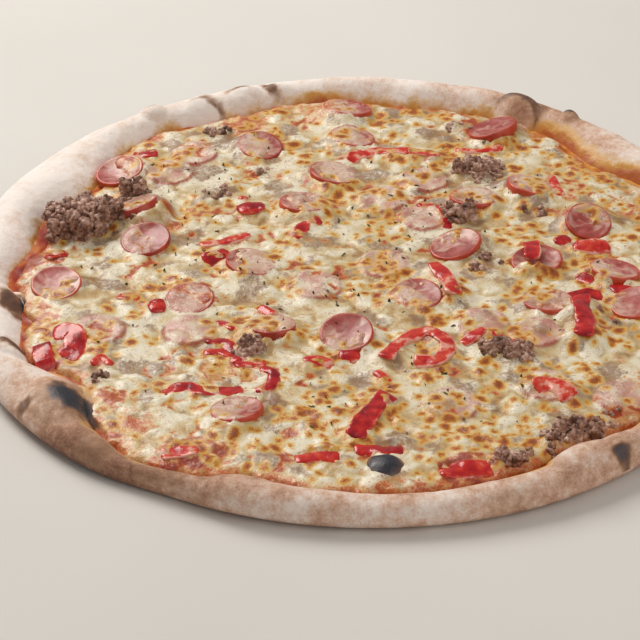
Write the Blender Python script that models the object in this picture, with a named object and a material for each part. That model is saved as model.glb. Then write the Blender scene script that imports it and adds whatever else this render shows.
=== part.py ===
# A large round pizza, baked: a floury puffed crust, tomato sauce, melted mozzarella,
# and on it slices of frankfurter sausage, strips of red pepper and crumbled minced beef.
# Metres, +Z up. The origin is the middle of the underside, and -Y is the side seen from the front.

import math
import random

import bmesh
import bpy
from mathutils import Euler, Matrix, Vector, geometry, noise
from mathutils.bvhtree import BVHTree

MM = 0.001

# Driving sizes of the dough
PIZZA_RADIUS = 180 * MM
PIZZA_OVAL = 1.6 * MM
WELL_FLOOR = 4.0 * MM
RIM_WIDTH = 18 * MM
RIM_HEIGHT = 13.5 * MM
CREST_SHARE = 0.42
INNER_EASE = 2.0
WIDEST_SHARE = 0.42
STEPS_ROUND = 96

# Layers on the dough
GAP = 0.3 * MM
SAUCE_THICKNESS = 1.0 * MM
SAUCE_STEPS = 48
SAUCE_TOP = WELL_FLOOR + GAP + SAUCE_THICKNESS
CHEESE_BOTTOM = SAUCE_TOP + GAP
CHEESE_THICKNESS = 3.2 * MM
CHEESE_EDGE_THICKNESS = 0.9 * MM
CHEESE_TAPER = 14 * MM
CHEESE_SPACING = 11 * MM
SAUCE_SHOWS = 3.0 * MM
LEAST_BED = 0.4 * MM

# Toppings
SLICE_RADIUS = 11.6 * MM
SLICE_THICKNESS = 4.0 * MM
SLICE_CUP = 0.7 * MM
SLICE_SINK = 2.7 * MM
SLICE_STEPS = 14
PEPPER_THICKNESS = 2.8 * MM
PEPPER_STATION = 5 * MM
LUMP_RADIUS = 3.3 * MM

# Where the crust swells in towards the middle, by compass angle from +X:
# (degrees, millimetres wider, degrees of spread)
RIM_SWELLS = (
    (42, 11, 9),
    (82, 3, 6),
    (116, 4, 6),
    (150, 17, 12),
    (172, 11, 9),
    (194, 11, 10),
    (214, 10, 5),
    (220, 10, 6),
    (243, -9.5, 9),
    (255, 5, 5),
    (303, 5, 5),
    (345, 6, 14),
)

# Where the outline dents in, by compass angle: (degrees, millimetres further out, degrees of spread)
OUTLINE_DENTS = (
    (244, -3.8, 8),
    (321, -2.2, 14),
)

# Where the crust rises higher or sinks, by compass angle: (degrees, millimetres higher, degrees of spread)
RIM_RISES = (
    (90, 1.4, 50),
    (241, -4.5, 10),
)

# Air bubbles that rose in the crust: (x, y, width, height), in millimetres
BLISTERS = (
    (11.5, -147, 22, 7.5),
    (-117, -107, 40, 5.0),
    (-108, -136, 24, 2.0),
    (-78, -156, 30, 1.2),
    (-46, -164, 26, 1.0),
    (-152, -25, 20, 4.0),
    (-147, -70, 16, 3.5),
    (-103, 140, 13, 2.5),
    (-77, 145, 22, 3.0),
    (-57, 157, 20, 2.5),
    (-40, 160, 20, 3.0),
    (77, 147, 24, 4.5),
    (104, 139, 9, 3.5),
    (91, -143, 30, 3.5),
    (108, -138, 26, 3.0),
    (170, 22, 26, 3.5),
    (158, -78, 24, 3.0),
)

# Sausage slices that show: (x, y, degrees of lean, compass angle that the face leans to)
SLICES = (
    (-7, 148, 12, 60),
    (-4, 121, 6, 40),
    (-49, 111, 9, 320),
    (66, 128, 17, 150),
    (-13, 84, 10, 30),
    (54, 63, 9, 80),
    (80, 73, 14, 40),
    (-97, 21, 12, 250),
    (-134, -17, 10, 260),
    (-104, 46, 24, 140),
    (-114, 84, 12, 230),
    (-49, 3, 8, 20),
    (-74, -27, 6, 260),
    (-4, -55, 15, 240),
    (-37, -51, 13, 100),
    (45, 20, 13, 200),
    (27, -21, 7, 230),
    (81, 8, 9, 250),
    (106, 42, 17, 280),
    (115, 0, 10, 60),
    (123, -27, 12, 200),
    (84, -26, 8, 90),
    (-26, 55, 9, 60),
    (-49, -114, 11, 120),
)

# Slices sunk under the cheese, which only lift it: (x, y), in millimetres
BURIED_SLICES = (
    (55, -43),
    (80, -91),
    (111, -97),
    (-91, 85),
    (12, 6),
    (78, -50),
    (-80, 104),
    (-112, -52),
    (31, 81),
    (11, 62),
    (30, 46),
    (40, -104),
    (-73, -52),
    (-18, -14),
)

# Pepper pieces: (width, lift above the cheese, points along the middle), in millimetres
PEPPERS = (
    (6.5, 0.5, ((-5, 98), (2, 106), (13, 109), (25, 107), (40, 104))),
    (5.0, 0.3, ((46, 112), (57, 110), (70, 114))),
    (9.0, 1.2, ((-57, 49), (-51, 51), (-44, 53))),
    (5.5, 0.4, ((-28, 26), (-26, 34), (-23, 39), (-17, 41))),
    (6.5, 0.3, ((-73, 20), (-61, 22), (-50, 29))),
    (8.5, 1.0, ((-92, -35), (-84, -34))),
    (10.0, 0.8, ((-132, -56), (-124, -56), (-121, -66), (-125, -73))),
    (7.0, 0.3, ((-82, -99), (-72, -97), (-60, -99), (-47, -96))),
    (5.5, 0.4, ((-41, -80), (-35, -85), (-36, -93), (-42, -98))),
    (9.0, 1.4, ((-1, -130), (6, -115), (14, -99))),
    (8.5, 0.6, ((-25, -144), (-15, -141), (-6, -142))),
    (8.5, 0.8, ((-1, -137), (9, -136), (20, -136))),
    (7.5, 1.0, ((12, -74), (19, -60), (30, -50), (39, -61), (35, -73), (24, -75))),
    (7.5, 4.2, ((33, 1), (39, -11), (43, -25))),
    (9.0, 0.9, ((98, -25), (98, -36), (99, -47), (97, -58))),
    (9.5, 1.0, ((74, -95), (82, -92), (90, -101))),
    (7.5, 5.0, ((78, 19), (79, 11), (78, 3))),
    (8.5, 0.9, ((98, 22), (105, 20), (115, 22))),
    (9.5, 1.0, ((33, -150), (44, -149), (55, -146))),
)

# Heaps of minced beef: (x, y, length, width, degrees of turn, crumbs), in millimetres
MINCE_HEAPS = (
    (-128, 34, 38, 26, 22, 16),
    (-106, 63, 13, 7, 10, 3),
    (57, 92, 24, 12, 8, 7),
    (47, 46, 16, 8, 0, 4),
    (-45, -67, 13, 9, 340, 4),
    (66, -66, 23, 8, 350, 5),
    (88, -125, 25, 9, 22, 6),
    (62, -143, 10, 6, 20, 3),
)

DOUGH = ("#D9C6B4", 0.85)
SAUCE = ("#A8401C", 0.35)
CHEESE = ("#DCCB9E", 0.35)
SAUSAGE = ("#BC665E", 0.4)
PEPPER = ("#B3201A", 0.25)
MINCE = ("#7D5543", 0.6)


def clear_scene():
    for obj in list(bpy.data.objects):
        bpy.data.objects.remove(obj)


def linear(hex_colour):
    """The linear RGBA of an sRGB hex colour."""
    shares = [int(hex_colour[i : i + 2], 16) / 255 for i in (1, 3, 5)]
    return [s / 12.92 if s <= 0.04045 else ((s + 0.055) / 1.055) ** 2.4 for s in shares] + [1]


def material(name, finish):
    hex_colour, roughness = finish
    made = bpy.data.materials.new(name)
    made.use_nodes = True
    shader = made.node_tree.nodes["Principled BSDF"]
    shader.inputs["Base Color"].default_value = linear(hex_colour)
    shader.inputs["Roughness"].default_value = roughness
    shader.inputs["Metallic"].default_value = 0
    return made


def add_object(name, bm, finish):
    """Turns a bmesh into a named object, its faces out, smooth where it is round."""
    bmesh.ops.recalc_face_normals(bm, faces=bm.faces)
    mesh = bpy.data.meshes.new(name)
    bm.to_mesh(mesh)
    bm.free()
    mesh.materials.append(finish)
    mesh.shade_smooth()
    mesh.set_sharp_from_angle(angle=math.radians(50))
    obj = bpy.data.objects.new(name, mesh)
    bpy.context.scene.collection.objects.link(obj)
    return obj


def ripple(x, y, size, seed):
    """Smooth unevenness from about -1 to 1, with bumps of the given size."""
    return noise.noise(Vector((x / size, y / size, seed)))


def angle_between(a, b):
    """The smaller angle between two compass angles, in degrees."""
    return abs((a - b + 180) % 360 - 180)


# The dough


def bumps(table, angle):
    """The sum of a table's smooth bumps at a compass angle, in metres."""
    compass = math.degrees(angle)
    return MM * sum(more * math.exp(-((angle_between(compass, at) / spread) ** 2)) for at, more, spread in table)


def outer_radius(angle):
    """The crust's outline: round, but pulled by hand and a little longer from front to back."""
    x, y = math.cos(angle), math.sin(angle)
    return PIZZA_RADIUS + PIZZA_OVAL * y**2 + bumps(OUTLINE_DENTS, angle) + 1.6 * MM * ripple(x, y, 0.55, 3.1)


def inner_radius(angle):
    """Where the crust's inner slope meets the flat base."""
    return outer_radius(angle) - RIM_WIDTH - bumps(RIM_SWELLS, angle)


def rim_top(angle):
    x, y = math.cos(angle), math.sin(angle)
    return RIM_HEIGHT + bumps(RIM_RISES, angle) + 1.8 * MM * ripple(x, y, 0.3, 7.7)


def blister_rise(x, y):
    """How far the air bubbles lift the crust at a place: a dome for each."""
    rise = 0
    for bx, by, width, height in BLISTERS:
        share = math.hypot(x - bx * MM, y - by * MM) / (width * MM / 2)
        if share < 1:
            rise = max(rise, height * MM * (1 - share**2) ** 0.7)
    return rise


def rim_section(angle):
    """Points (radius, height) over the rim, from its inner foot to its outer under edge."""
    outer, inner, top = outer_radius(angle), inner_radius(angle), rim_top(angle)
    crest = outer - (outer - inner) * CREST_SHARE
    widest = top * WIDEST_SHARE
    points = []
    for turn in (0, 28, 56, 90, 122, 158, 200, 242):
        across, up = -math.cos(math.radians(turn)), math.sin(math.radians(turn))
        if turn <= 90:
            rise = (top - WELL_FLOOR) * up**INNER_EASE
            points.append((crest + (crest - inner) * across, WELL_FLOOR + rise))
        elif turn <= 180:
            points.append((crest + (outer - crest) * across, widest + (top - widest) * up))
        else:
            points.append((crest + (outer - crest) * across, widest * (1 + up)))
    return points


def make_crust(finish):
    """Rings of points from the middle of the base over the rim, and a flat underside."""
    bm = bmesh.new()
    rings = []
    floor_insets = (22 * MM, 13 * MM, 6 * MM)
    for step in range(STEPS_ROUND):
        angle = math.tau * step / STEPS_ROUND
        inner = inner_radius(angle)
        column = [(inner - inset, WELL_FLOOR) for inset in floor_insets] + rim_section(angle)
        ring = []
        for place, (radius, height) in enumerate(column):
            x, y = radius * math.cos(angle), radius * math.sin(angle)
            is_top = place < len(column) - 2
            ring.append(bm.verts.new((x, y, height + (blister_rise(x, y) if is_top else 0))))
        foot = column[-1][0] - 3 * MM
        ring.append(bm.verts.new((foot * math.cos(angle), foot * math.sin(angle), 0)))
        rings.append(ring)
    for a, b in zip(rings, rings[1:] + rings[:1]):
        for k in range(len(a) - 1):
            bm.faces.new((a[k], b[k], b[k + 1], a[k + 1]))
    # Split now, so that the heights measured later are those of the finished faces
    bmesh.ops.triangulate(bm, faces=bm.faces)
    bm.faces.new([ring[0] for ring in reversed(rings)])
    bm.faces.new([ring[-1] for ring in rings])
    return add_object("crust", bm, finish)


# Sauce and cheese

# How far out the base is flat, for each degree round, once the crust is made
FLAT_TO = []


def crust_height(dough, x, y):
    """The top of the dough at a place, measured on the crust's own tree."""
    place, *_ = dough.ray_cast(Vector((x, y, 1)), Vector((0, 0, -1)))
    return place.z if place else 0


def measure_base(dough):
    """How far out the base stays flat at each degree, short of the rim and its bubbles."""
    flat_to = []
    step = 0.4 * MM
    for degrees in range(360):
        x, y = math.cos(math.radians(degrees)), math.sin(math.radians(degrees))
        radius = PIZZA_RADIUS / 2
        while crust_height(dough, radius * x, radius * y) < WELL_FLOOR + 0.05 * MM:
            radius += step
        flat_to.append(radius - step)
    return flat_to


def sauce_radius(angle):
    """The sauce reaches the rim; its outline stays clear for a step to either side."""
    degrees = round(math.degrees(angle))
    reach = math.ceil(360 / SAUCE_STEPS)
    return min(FLAT_TO[(degrees + turn) % 360] for turn in range(-reach, reach + 1)) - 2 * GAP


def cheese_radius(angle):
    """The melted cheese stops short of the rim by an uneven band of sauce."""
    x, y = math.cos(angle), math.sin(angle)
    band = SAUCE_SHOWS * (1 + 0.9 * ripple(x, y, 0.16, 12.4))
    return sauce_radius(angle) - max(band, 0.8 * MM)


def cheese_top(x, y):
    """The cheese's upper surface: lumpy, raised over buried slices, thin at its edge."""
    relief = 1.3 * ripple(x, y, 24 * MM, 1.5) + 0.8 * ripple(x, y, 11 * MM, 5.2)
    for sx, sy in BURIED_SLICES:
        share = math.hypot(x - sx * MM, y - sy * MM) / (SLICE_RADIUS * 1.15)
        if share < 1:
            relief += 1.6 * (1 - share**4)
    inside = (cheese_radius(math.atan2(y, x)) - math.hypot(x, y)) / CHEESE_TAPER
    full = math.sqrt(1 - (1 - min(max(inside, 0), 1)) ** 2)
    thickness = CHEESE_EDGE_THICKNESS + (CHEESE_THICKNESS - CHEESE_EDGE_THICKNESS + relief * MM) * full
    return CHEESE_BOTTOM + max(thickness, CHEESE_EDGE_THICKNESS)


def make_sauce(finish):
    bm = bmesh.new()
    lower, upper = [], []
    for step in range(SAUCE_STEPS):
        angle = math.tau * step / SAUCE_STEPS
        radius = sauce_radius(angle)
        x, y = radius * math.cos(angle), radius * math.sin(angle)
        lower.append(bm.verts.new((x, y, WELL_FLOOR + GAP)))
        upper.append(bm.verts.new((x, y, SAUCE_TOP)))
    for k in range(SAUCE_STEPS):
        n = (k + 1) % SAUCE_STEPS
        bm.faces.new((lower[k], lower[n], upper[n], upper[k]))
    bm.faces.new(upper)
    bm.faces.new(lower[::-1])
    return add_object("tomato_sauce", bm, finish)


def make_cheese(finish):
    """An even triangle net over the cheese's outline, raised to its surface, with a flat bottom."""
    outline = []
    for step in range(STEPS_ROUND):
        angle = math.tau * step / STEPS_ROUND
        radius = cheese_radius(angle)
        outline.append(Vector((radius * math.cos(angle), radius * math.sin(angle))))
    inner = []
    rows = int(PIZZA_RADIUS / (CHEESE_SPACING * 0.866))
    for row in range(-rows, rows + 1):
        for column in range(-rows, rows + 1):
            x = (column + 0.5 * (row % 2)) * CHEESE_SPACING
            y = row * CHEESE_SPACING * 0.866
            if math.hypot(x, y) < cheese_radius(math.atan2(y, x)) - 0.6 * CHEESE_SPACING:
                inner.append(Vector((x, y)))
    loop = list(range(STEPS_ROUND))
    points, _, faces, *_ = geometry.delaunay_2d_cdt(outline + inner, [], [loop], 1, 1e-7)
    bm = bmesh.new()
    top = [bm.verts.new((p.x, p.y, cheese_top(p.x, p.y))) for p in points]
    for face in faces:
        bm.faces.new([top[i] for i in face])
    bottom = [bm.verts.new((p.x, p.y, CHEESE_BOTTOM)) for p in points[:STEPS_ROUND]]
    for k in range(STEPS_ROUND):
        n = (k + 1) % STEPS_ROUND
        bm.faces.new((bottom[k], bottom[n], top[n], top[k]))
    bm.faces.new(bottom[::-1])
    return add_object("mozzarella", bm, finish)


# Toppings


def tree_of(obj, matrix=Matrix.Identity(4)):
    corners = [matrix @ v.co for v in obj.data.vertices]
    return BVHTree.FromPolygons(corners, [p.vertices[:] for p in obj.data.polygons])


def settle(obj, laid):
    """Raises a topping until it clears the sauce, the crust and those already laid."""
    lowest = min(v.co.z for v in obj.data.vertices)
    rise = max(0, CHEESE_BOTTOM + LEAST_BED - lowest)
    near = [tree for other, tree in laid if beside(obj, other)]
    touched = False
    while any(tree_of(obj, Matrix.Translation((0, 0, rise))).overlap(tree) for tree in near):
        rise += 0.4 * MM
        touched = True
    if touched:
        rise += 2 * GAP
    obj.data.transform(Matrix.Translation((0, 0, rise)))
    laid.append((obj, tree_of(obj)))


def middle_and_reach(obj):
    corners = [v.co for v in obj.data.vertices]
    middle = sum(corners, Vector()) / len(corners)
    return middle, max((c - middle).length for c in corners)


def beside(obj, other):
    (a, reach_a), (b, reach_b) = middle_and_reach(obj), middle_and_reach(other)
    return (a - b).xy.length < reach_a + reach_b


def make_slice(name, place, finish, draw):
    """A coin of sausage: skin round the edge, the cut face cupped by the heat."""
    x, y, lean, leans_to = place
    oval, turn = draw.uniform(1.0, 1.07), draw.uniform(0, math.tau)
    radius = SLICE_RADIUS * draw.uniform(0.96, 1.04)
    thickness = SLICE_THICKNESS * draw.uniform(0.9, 1.12)
    bm = bmesh.new()
    rings = []
    for share, height in ((0.96, 0), (1.0, 0.8 * thickness), (0.86, thickness)):
        ring = []
        for step in range(SLICE_STEPS):
            angle = math.tau * step / SLICE_STEPS
            r = radius * share
            ring.append(bm.verts.new((r * oval * math.cos(angle), r / oval * math.sin(angle), height)))
        rings.append(ring)
    middle = bm.verts.new((0, 0, thickness - SLICE_CUP))
    for a, b in zip(rings, rings[1:]):
        for k in range(SLICE_STEPS):
            n = (k + 1) % SLICE_STEPS
            bm.faces.new((a[k], a[n], b[n], b[k]))
    for k in range(SLICE_STEPS):
        bm.faces.new((rings[2][k], rings[2][(k + 1) % SLICE_STEPS], middle))
    bm.faces.new(rings[0][::-1])
    axis = Vector((-math.sin(math.radians(leans_to)), math.cos(math.radians(leans_to)), 0))
    tilt = Matrix.Rotation(math.radians(lean), 4, axis)
    seat = Vector((x * MM, y * MM, cheese_top(x * MM, y * MM) - SLICE_SINK))
    bm.transform(Matrix.Translation(seat) @ tilt @ Matrix.Rotation(turn, 4, "Z"))
    return add_object(name, bm, finish)


def smooth_path(points, spacing):
    """Points evenly along a smooth curve through the given ones."""
    knots = [Vector(p) * MM for p in points]
    knots = [2 * knots[0] - knots[1]] + knots + [2 * knots[-1] - knots[-2]]
    path = []
    for a, b, c, d in zip(knots, knots[1:], knots[2:], knots[3:]):
        pieces = max(1, round((c - b).length / spacing))
        for k in range(pieces):
            t = k / pieces
            path.append(
                0.5 * (2 * b + (c - a) * t + (2 * a - 5 * b + 4 * c - d) * t**2 + (3 * b - a - 3 * c + d) * t**3)
            )
    path.append(knots[-2])
    return path


def make_pepper(name, piece, finish):
    """A strip or chunk of pepper: six-sided across, domed on its skin side, along its path."""
    width, lift, points = piece
    path = smooth_path(points, PEPPER_STATION)
    section = ((-0.5, 0.1), (-0.36, 0.85), (0.36, 1.0), (0.5, 0.2), (0.38, -0.55), (-0.38, -0.6))
    bm = bmesh.new()
    rings = []
    for k, place in enumerate(path):
        ahead = (path[min(k + 1, len(path) - 1)] - path[max(k - 1, 0)]).normalized()
        side = Vector((-ahead.y, ahead.x))
        at_end = k in (0, len(path) - 1)
        full = 0.78 if at_end else 1
        rest = cheese_top(place.x, place.y) + lift * MM
        ring = []
        for across, up in section:
            xy = place + side * (across * width * MM * full)
            ring.append(bm.verts.new((xy.x, xy.y, rest + up * PEPPER_THICKNESS / 2 * full)))
        rings.append(ring)
    count = len(section)
    for a, b in zip(rings, rings[1:]):
        for k in range(count):
            n = (k + 1) % count
            bm.faces.new((a[k], a[n], b[n], b[k]))
    bm.faces.new(rings[0][::-1])
    bm.faces.new(rings[-1])
    return add_object(name, bm, finish)


def lump(place, radius, draw):
    """One crumb of mince, a rough ball, as an object for a union."""
    bm = bmesh.new()
    bmesh.ops.create_icosphere(bm, subdivisions=1, radius=radius)
    for vert in bm.verts:
        vert.co *= draw.uniform(0.86, 1.14)
    turn = Euler([draw.uniform(0, math.tau) for _ in range(3)]).to_matrix().to_4x4()
    bm.transform(Matrix.Translation(place) @ turn)
    mesh = bpy.data.meshes.new("crumb")
    bm.to_mesh(mesh)
    bm.free()
    obj = bpy.data.objects.new("crumb", mesh)
    bpy.context.scene.collection.objects.link(obj)
    return obj


def clear_height(dough, x, y, reach):
    """The highest dough within reach of a place, so that a crumb there clears it."""
    turns = [k * math.tau / 8 for k in range(8)]
    around = [crust_height(dough, x + reach * math.cos(a), y + reach * math.sin(a)) for a in turns]
    return max(around + [crust_height(dough, x, y)])


def make_mince(name, heap, finish, draw, dough):
    """A low core with crumbs all over it, joined into one solid."""
    hx, hy, length, width, turn, count = heap
    turn = math.radians(turn)
    ahead, side = Vector((math.cos(turn), math.sin(turn))), Vector((-math.sin(turn), math.cos(turn)))
    middle = Vector((hx, hy)) * MM
    bm = bmesh.new()
    bmesh.ops.create_uvsphere(bm, u_segments=10, v_segments=5, radius=1)
    core_height = max(cheese_top(*middle), crust_height(dough, *middle))
    spread = Matrix.Diagonal((length * MM * 0.44, width * MM * 0.44, 3.2 * MM, 1))
    bm.transform(
        Matrix.Translation((middle.x, middle.y, core_height + 0.6 * MM)) @ Matrix.Rotation(turn, 4, "Z") @ spread
    )
    core = add_object(name, bm, finish)
    crumbs = bpy.data.collections.new(name + "_crumbs")
    for k in range(count):
        share = math.sqrt((k + 0.5) / count)
        around = k * math.radians(137.5)
        xy = middle + ahead * (share * math.cos(around) * length * MM / 2)
        xy += side * (share * math.sin(around) * width * MM / 2)
        radius = LUMP_RADIUS * draw.uniform(0.75, 1.25)
        pile = 1.6 * MM * (1 - share**2)
        height = cheese_top(xy.x, xy.y) + 0.5 * radius + pile
        height = max(height, clear_height(dough, xy.x, xy.y, radius) + 1.15 * radius + GAP)
        crumbs.objects.link(lump(Vector((xy.x, xy.y, height)), radius, draw))
    join(core, crumbs)
    return core


def apply_boolean(obj, collection, operation, solver):
    """Applies one Boolean on a collection and removes the collection's objects."""
    cut = obj.modifiers.new("shape", "BOOLEAN")
    cut.operation = operation
    cut.operand_type = "COLLECTION"
    cut.collection = collection
    cut.solver = solver
    graph = bpy.context.evaluated_depsgraph_get()
    made = bpy.data.meshes.new_from_object(obj.evaluated_get(graph))
    obj.modifiers.remove(cut)
    obj.data = made
    for helper in list(collection.objects):
        bpy.data.objects.remove(helper)
    bpy.data.collections.remove(collection)


def keep_largest_body(obj):
    """Drops loose scraps that a Boolean left."""
    bm = bmesh.new()
    bm.from_mesh(obj.data)
    bmesh.ops.remove_doubles(bm, verts=bm.verts, dist=0.01 * MM)
    unseen = set(bm.verts)
    bodies = []
    while unseen:
        body, edge_of = set(), [unseen.pop()]
        while edge_of:
            vert = edge_of.pop()
            body.add(vert)
            for edge in vert.link_edges:
                other = edge.other_vert(vert)
                if other in unseen:
                    unseen.remove(other)
                    edge_of.append(other)
        bodies.append(body)
    bodies.sort(key=len)
    for scrap in bodies[:-1]:
        bmesh.ops.delete(bm, geom=list(scrap), context="VERTS")
    bm.to_mesh(obj.data)
    bm.free()


def join(obj, collection):
    apply_boolean(obj, collection, "UNION", "MANIFOLD")
    keep_largest_body(obj)


def pocket_cutter(obj, is_convex):
    """A slightly larger copy of a topping, which leaves it a bed in the cheese."""
    bm = bmesh.new()
    if is_convex:
        for vert in obj.data.vertices:
            bm.verts.new(vert.co)
        bmesh.ops.convex_hull(bm, input=bm.verts)
        bmesh.ops.delete(bm, geom=[v for v in bm.verts if not v.link_faces], context="VERTS")
    else:
        bm.from_mesh(obj.data)
    bmesh.ops.recalc_face_normals(bm, faces=bm.faces)
    bm.normal_update()
    for vert, way in [(v, v.normal.copy()) for v in bm.verts]:
        vert.co += way * GAP * 1.3
    mesh = bpy.data.meshes.new("pocket")
    bm.to_mesh(mesh)
    bm.free()
    cutter = bpy.data.objects.new("pocket", mesh)
    cutter.hide_render = True
    cutter.display_type = "WIRE"
    return cutter


def bed_toppings(cheese, toppings):
    """Cuts a bed for each topping into the cheese."""
    pockets = bpy.data.collections.new("pockets")
    for obj in toppings:
        pockets.objects.link(pocket_cutter(obj, is_convex=not obj.name.startswith("pepper")))
    apply_boolean(cheese, pockets, "DIFFERENCE", "MANIFOLD")
    keep_largest_body(cheese)


def build():
    clear_scene()
    crust = make_crust(material("baked_dough", DOUGH))
    FLAT_TO.extend(measure_base(tree_of(crust)))
    make_sauce(material("tomato_sauce", SAUCE))
    cheese = make_cheese(material("melted_mozzarella", CHEESE))
    draw = random.Random(36)
    laid = [(crust, tree_of(crust))]
    sausage = material("frankfurter", SAUSAGE)
    for number, place in enumerate(SLICES, 1):
        settle(make_slice(f"sausage_{number:02d}", place, sausage, draw), laid)
    mince = material("minced_beef", MINCE)
    for number, heap in enumerate(MINCE_HEAPS, 1):
        settle(make_mince(f"mince_{number:02d}", heap, mince, draw, laid[0][1]), laid)
    pepper = material("red_pepper", PEPPER)
    for number, piece in enumerate(PEPPERS, 1):
        settle(make_pepper(f"pepper_{number:02d}", piece, pepper), laid)
    bed_toppings(cheese, [obj for obj, _ in laid[1:]])


build()
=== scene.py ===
import math
import random

import bmesh
import bpy
import numpy as np
from mathutils import Matrix, Vector, noise
from mathutils.bvhtree import BVHTree


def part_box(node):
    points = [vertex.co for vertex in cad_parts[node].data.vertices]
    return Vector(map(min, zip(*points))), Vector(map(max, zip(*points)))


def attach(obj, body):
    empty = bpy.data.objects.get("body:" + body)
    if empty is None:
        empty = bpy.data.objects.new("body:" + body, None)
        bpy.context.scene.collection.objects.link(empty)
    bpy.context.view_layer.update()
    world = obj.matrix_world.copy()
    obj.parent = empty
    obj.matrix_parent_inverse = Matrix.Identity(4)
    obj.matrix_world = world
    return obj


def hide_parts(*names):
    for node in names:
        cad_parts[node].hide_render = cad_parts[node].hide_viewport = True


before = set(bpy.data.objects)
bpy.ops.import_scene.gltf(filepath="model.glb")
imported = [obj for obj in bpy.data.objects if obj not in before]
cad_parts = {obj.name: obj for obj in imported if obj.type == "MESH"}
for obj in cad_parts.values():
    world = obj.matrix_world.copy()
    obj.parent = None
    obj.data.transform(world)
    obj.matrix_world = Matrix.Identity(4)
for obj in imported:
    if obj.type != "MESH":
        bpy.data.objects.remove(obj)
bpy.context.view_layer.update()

MM = 0.001

# Sizes that the solids share
PIZZA_RADIUS = 180 * MM
PIZZA_OVAL = 1.6 * MM
WELL_FLOOR = 4.0 * MM
RIM_WIDTH = 18 * MM
RIM_HEIGHT = 13.5 * MM
CREST_SHARE = 0.42
INNER_EASE = 2.0
WIDEST_SHARE = 0.42
SAUCE_TOP = 5.3 * MM
CHEESE_BOTTOM = 5.6 * MM
CHEESE_THICKNESS = 3.2 * MM
CHEESE_EDGE = 0.9 * MM
CHEESE_TAPER = 14 * MM
SLICE_RADIUS = 11.6 * MM

# Where the crust swells in towards the middle, by compass angle from +X:
# (degrees, millimetres wider, degrees of spread)
RIM_SWELLS = (
    (42, 11, 9),
    (82, 3, 6),
    (116, 4, 6),
    (150, 17, 12),
    (172, 11, 9),
    (194, 11, 10),
    (214, 10, 5),
    (220, 10, 6),
    (243, -9.5, 9),
    (255, 5, 5),
    (303, 5, 5),
    (345, 6, 14),
)

# Where the outline dents in: (compass degrees, millimetres further out, degrees of spread)
OUTLINE_DENTS = (
    (244, -3.8, 8),
    (321, -2.2, 14),
)

# Where the crust rises higher or sinks: (compass degrees, millimetres higher, degrees of spread)
RIM_RISES = (
    (90, 1.4, 50),
    (241, -4.5, 10),
)

# Air bubbles that rose in the crust: (x, y, width, height), in millimetres
BLISTERS = (
    (11.5, -147, 22, 7.5),
    (-117, -107, 40, 5.0),
    (-108, -136, 24, 2.0),
    (-78, -156, 30, 1.2),
    (-46, -164, 26, 1.0),
    (-152, -25, 20, 4.0),
    (-147, -70, 16, 3.5),
    (-103, 140, 13, 2.5),
    (-77, 145, 22, 3.0),
    (-57, 157, 20, 2.5),
    (-40, 160, 20, 3.0),
    (77, 147, 24, 4.5),
    (104, 139, 9, 3.5),
    (91, -143, 30, 3.5),
    (108, -138, 26, 3.0),
    (170, 22, 26, 3.5),
    (158, -78, 24, 3.0),
)

# Slices sunk under the cheese, which only lift it: (x, y), in millimetres
BURIED_SLICES = (
    (55, -43),
    (80, -91),
    (111, -97),
    (-91, 85),
    (12, 6),
    (78, -50),
    (-80, 104),
    (-112, -52),
    (31, 81),
    (11, 62),
    (30, 46),
    (40, -104),
    (-73, -52),
    (-18, -14),
)

# How the crust and the sauce are drawn, finer than their solids
CRUST_STEPS = 840
CRUST_FLOOR_INSET = 26 * MM
SAUCE_STEPS = 540
SAUCE_RINGS = 60

# How toasted the flat underside is
UNDERSIDE_TOAST = 0.42

# Burnt marks on the crust: (x, y, length, width, degrees of turn, how burnt), in millimetres.
# A mark below 0 clears what the ones before it burnt, so that an arc is left.
SCORCHES = (
    (11.5, -147, 19, 18, 5, 1.0),
    (-117, -112, 25, 15, 318, 1.0),
    (-113, -122, 9, 6, 300, 0.4),
    (-137, -112, 9, 7, 60, 0.5),
    (-120, -113, 34, 26, 318, 0.34),
    (-151, -32, 20, 17, 70, 0.55),
    (-147, -31, 10, 8, 60, 0.9),
    (-148, -68, 16, 12, 30, 0.5),
    (-146, -69, 7, 6, 30, 0.75),
    (-75.5, 144, 21, 16, 340, 0.46),
    (-78.5, 140, 20, 17, 340, -1.0),
    (-67, 138, 12, 12, 0, -0.9),
    (-61, 161, 14, 8, 15, 0.42),
    (-59, 157.5, 12, 8, 15, -1.0),
    (-45, 164, 14, 7, 320, 0.46),
    (-50, 159, 16, 8, 320, -0.9),
    (-103, 143, 8, 4, 30, 0.5),
    (79, 149, 27, 22, 340, 0.56),
    (74, 142, 23, 21, 340, -0.95),
    (104, 140, 8, 7, 330, 0.7),
    (-93, 130, 7, 4, 30, 0.6),
    (107, -142, 8, 6, 20, 0.75),
    (-104, -142, 20, 14, 330, 0.25),
    (-82, -160, 22, 12, 345, 0.22),
    (61, -170, 24, 8, 10, 0.2),
    (171, 24, 14, 10, 60, 0.35),
    (160, -78, 12, 9, 60, 0.3),
)

# Bubbles whose faces stayed pale and dry: (x, y, reach), in millimetres
PALE_BUBBLES = (
    (-79, 140, 11),
    (-50, 153, 13),
    (73, 140, 11),
    (-152, -50, 9),
)

# Where the crust is toasted more or less, and darkened as painted shade on the front and front left, the
# sides turned from the key light: (compass degrees, how much more, degrees of spread)
TOASTED_AND_SHADED_SIDES = (
    (233, 0.6, 18),
    (272, 0.22, 40),
    (60, 0.45, 12),
    (25, 0.2, 30),
    (165, -0.12, 35),
    (320, 0.3, 35),
)

# Where the sauce's oil climbs the crust further: (compass degrees, millimetres further, degrees of spread)
OILED_SIDES = (
    (40, 5, 20),
    (108, 3, 14),
    (180, -1, 25),
    (228, 4, 8),
    (300, 4, 18),
)

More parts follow.
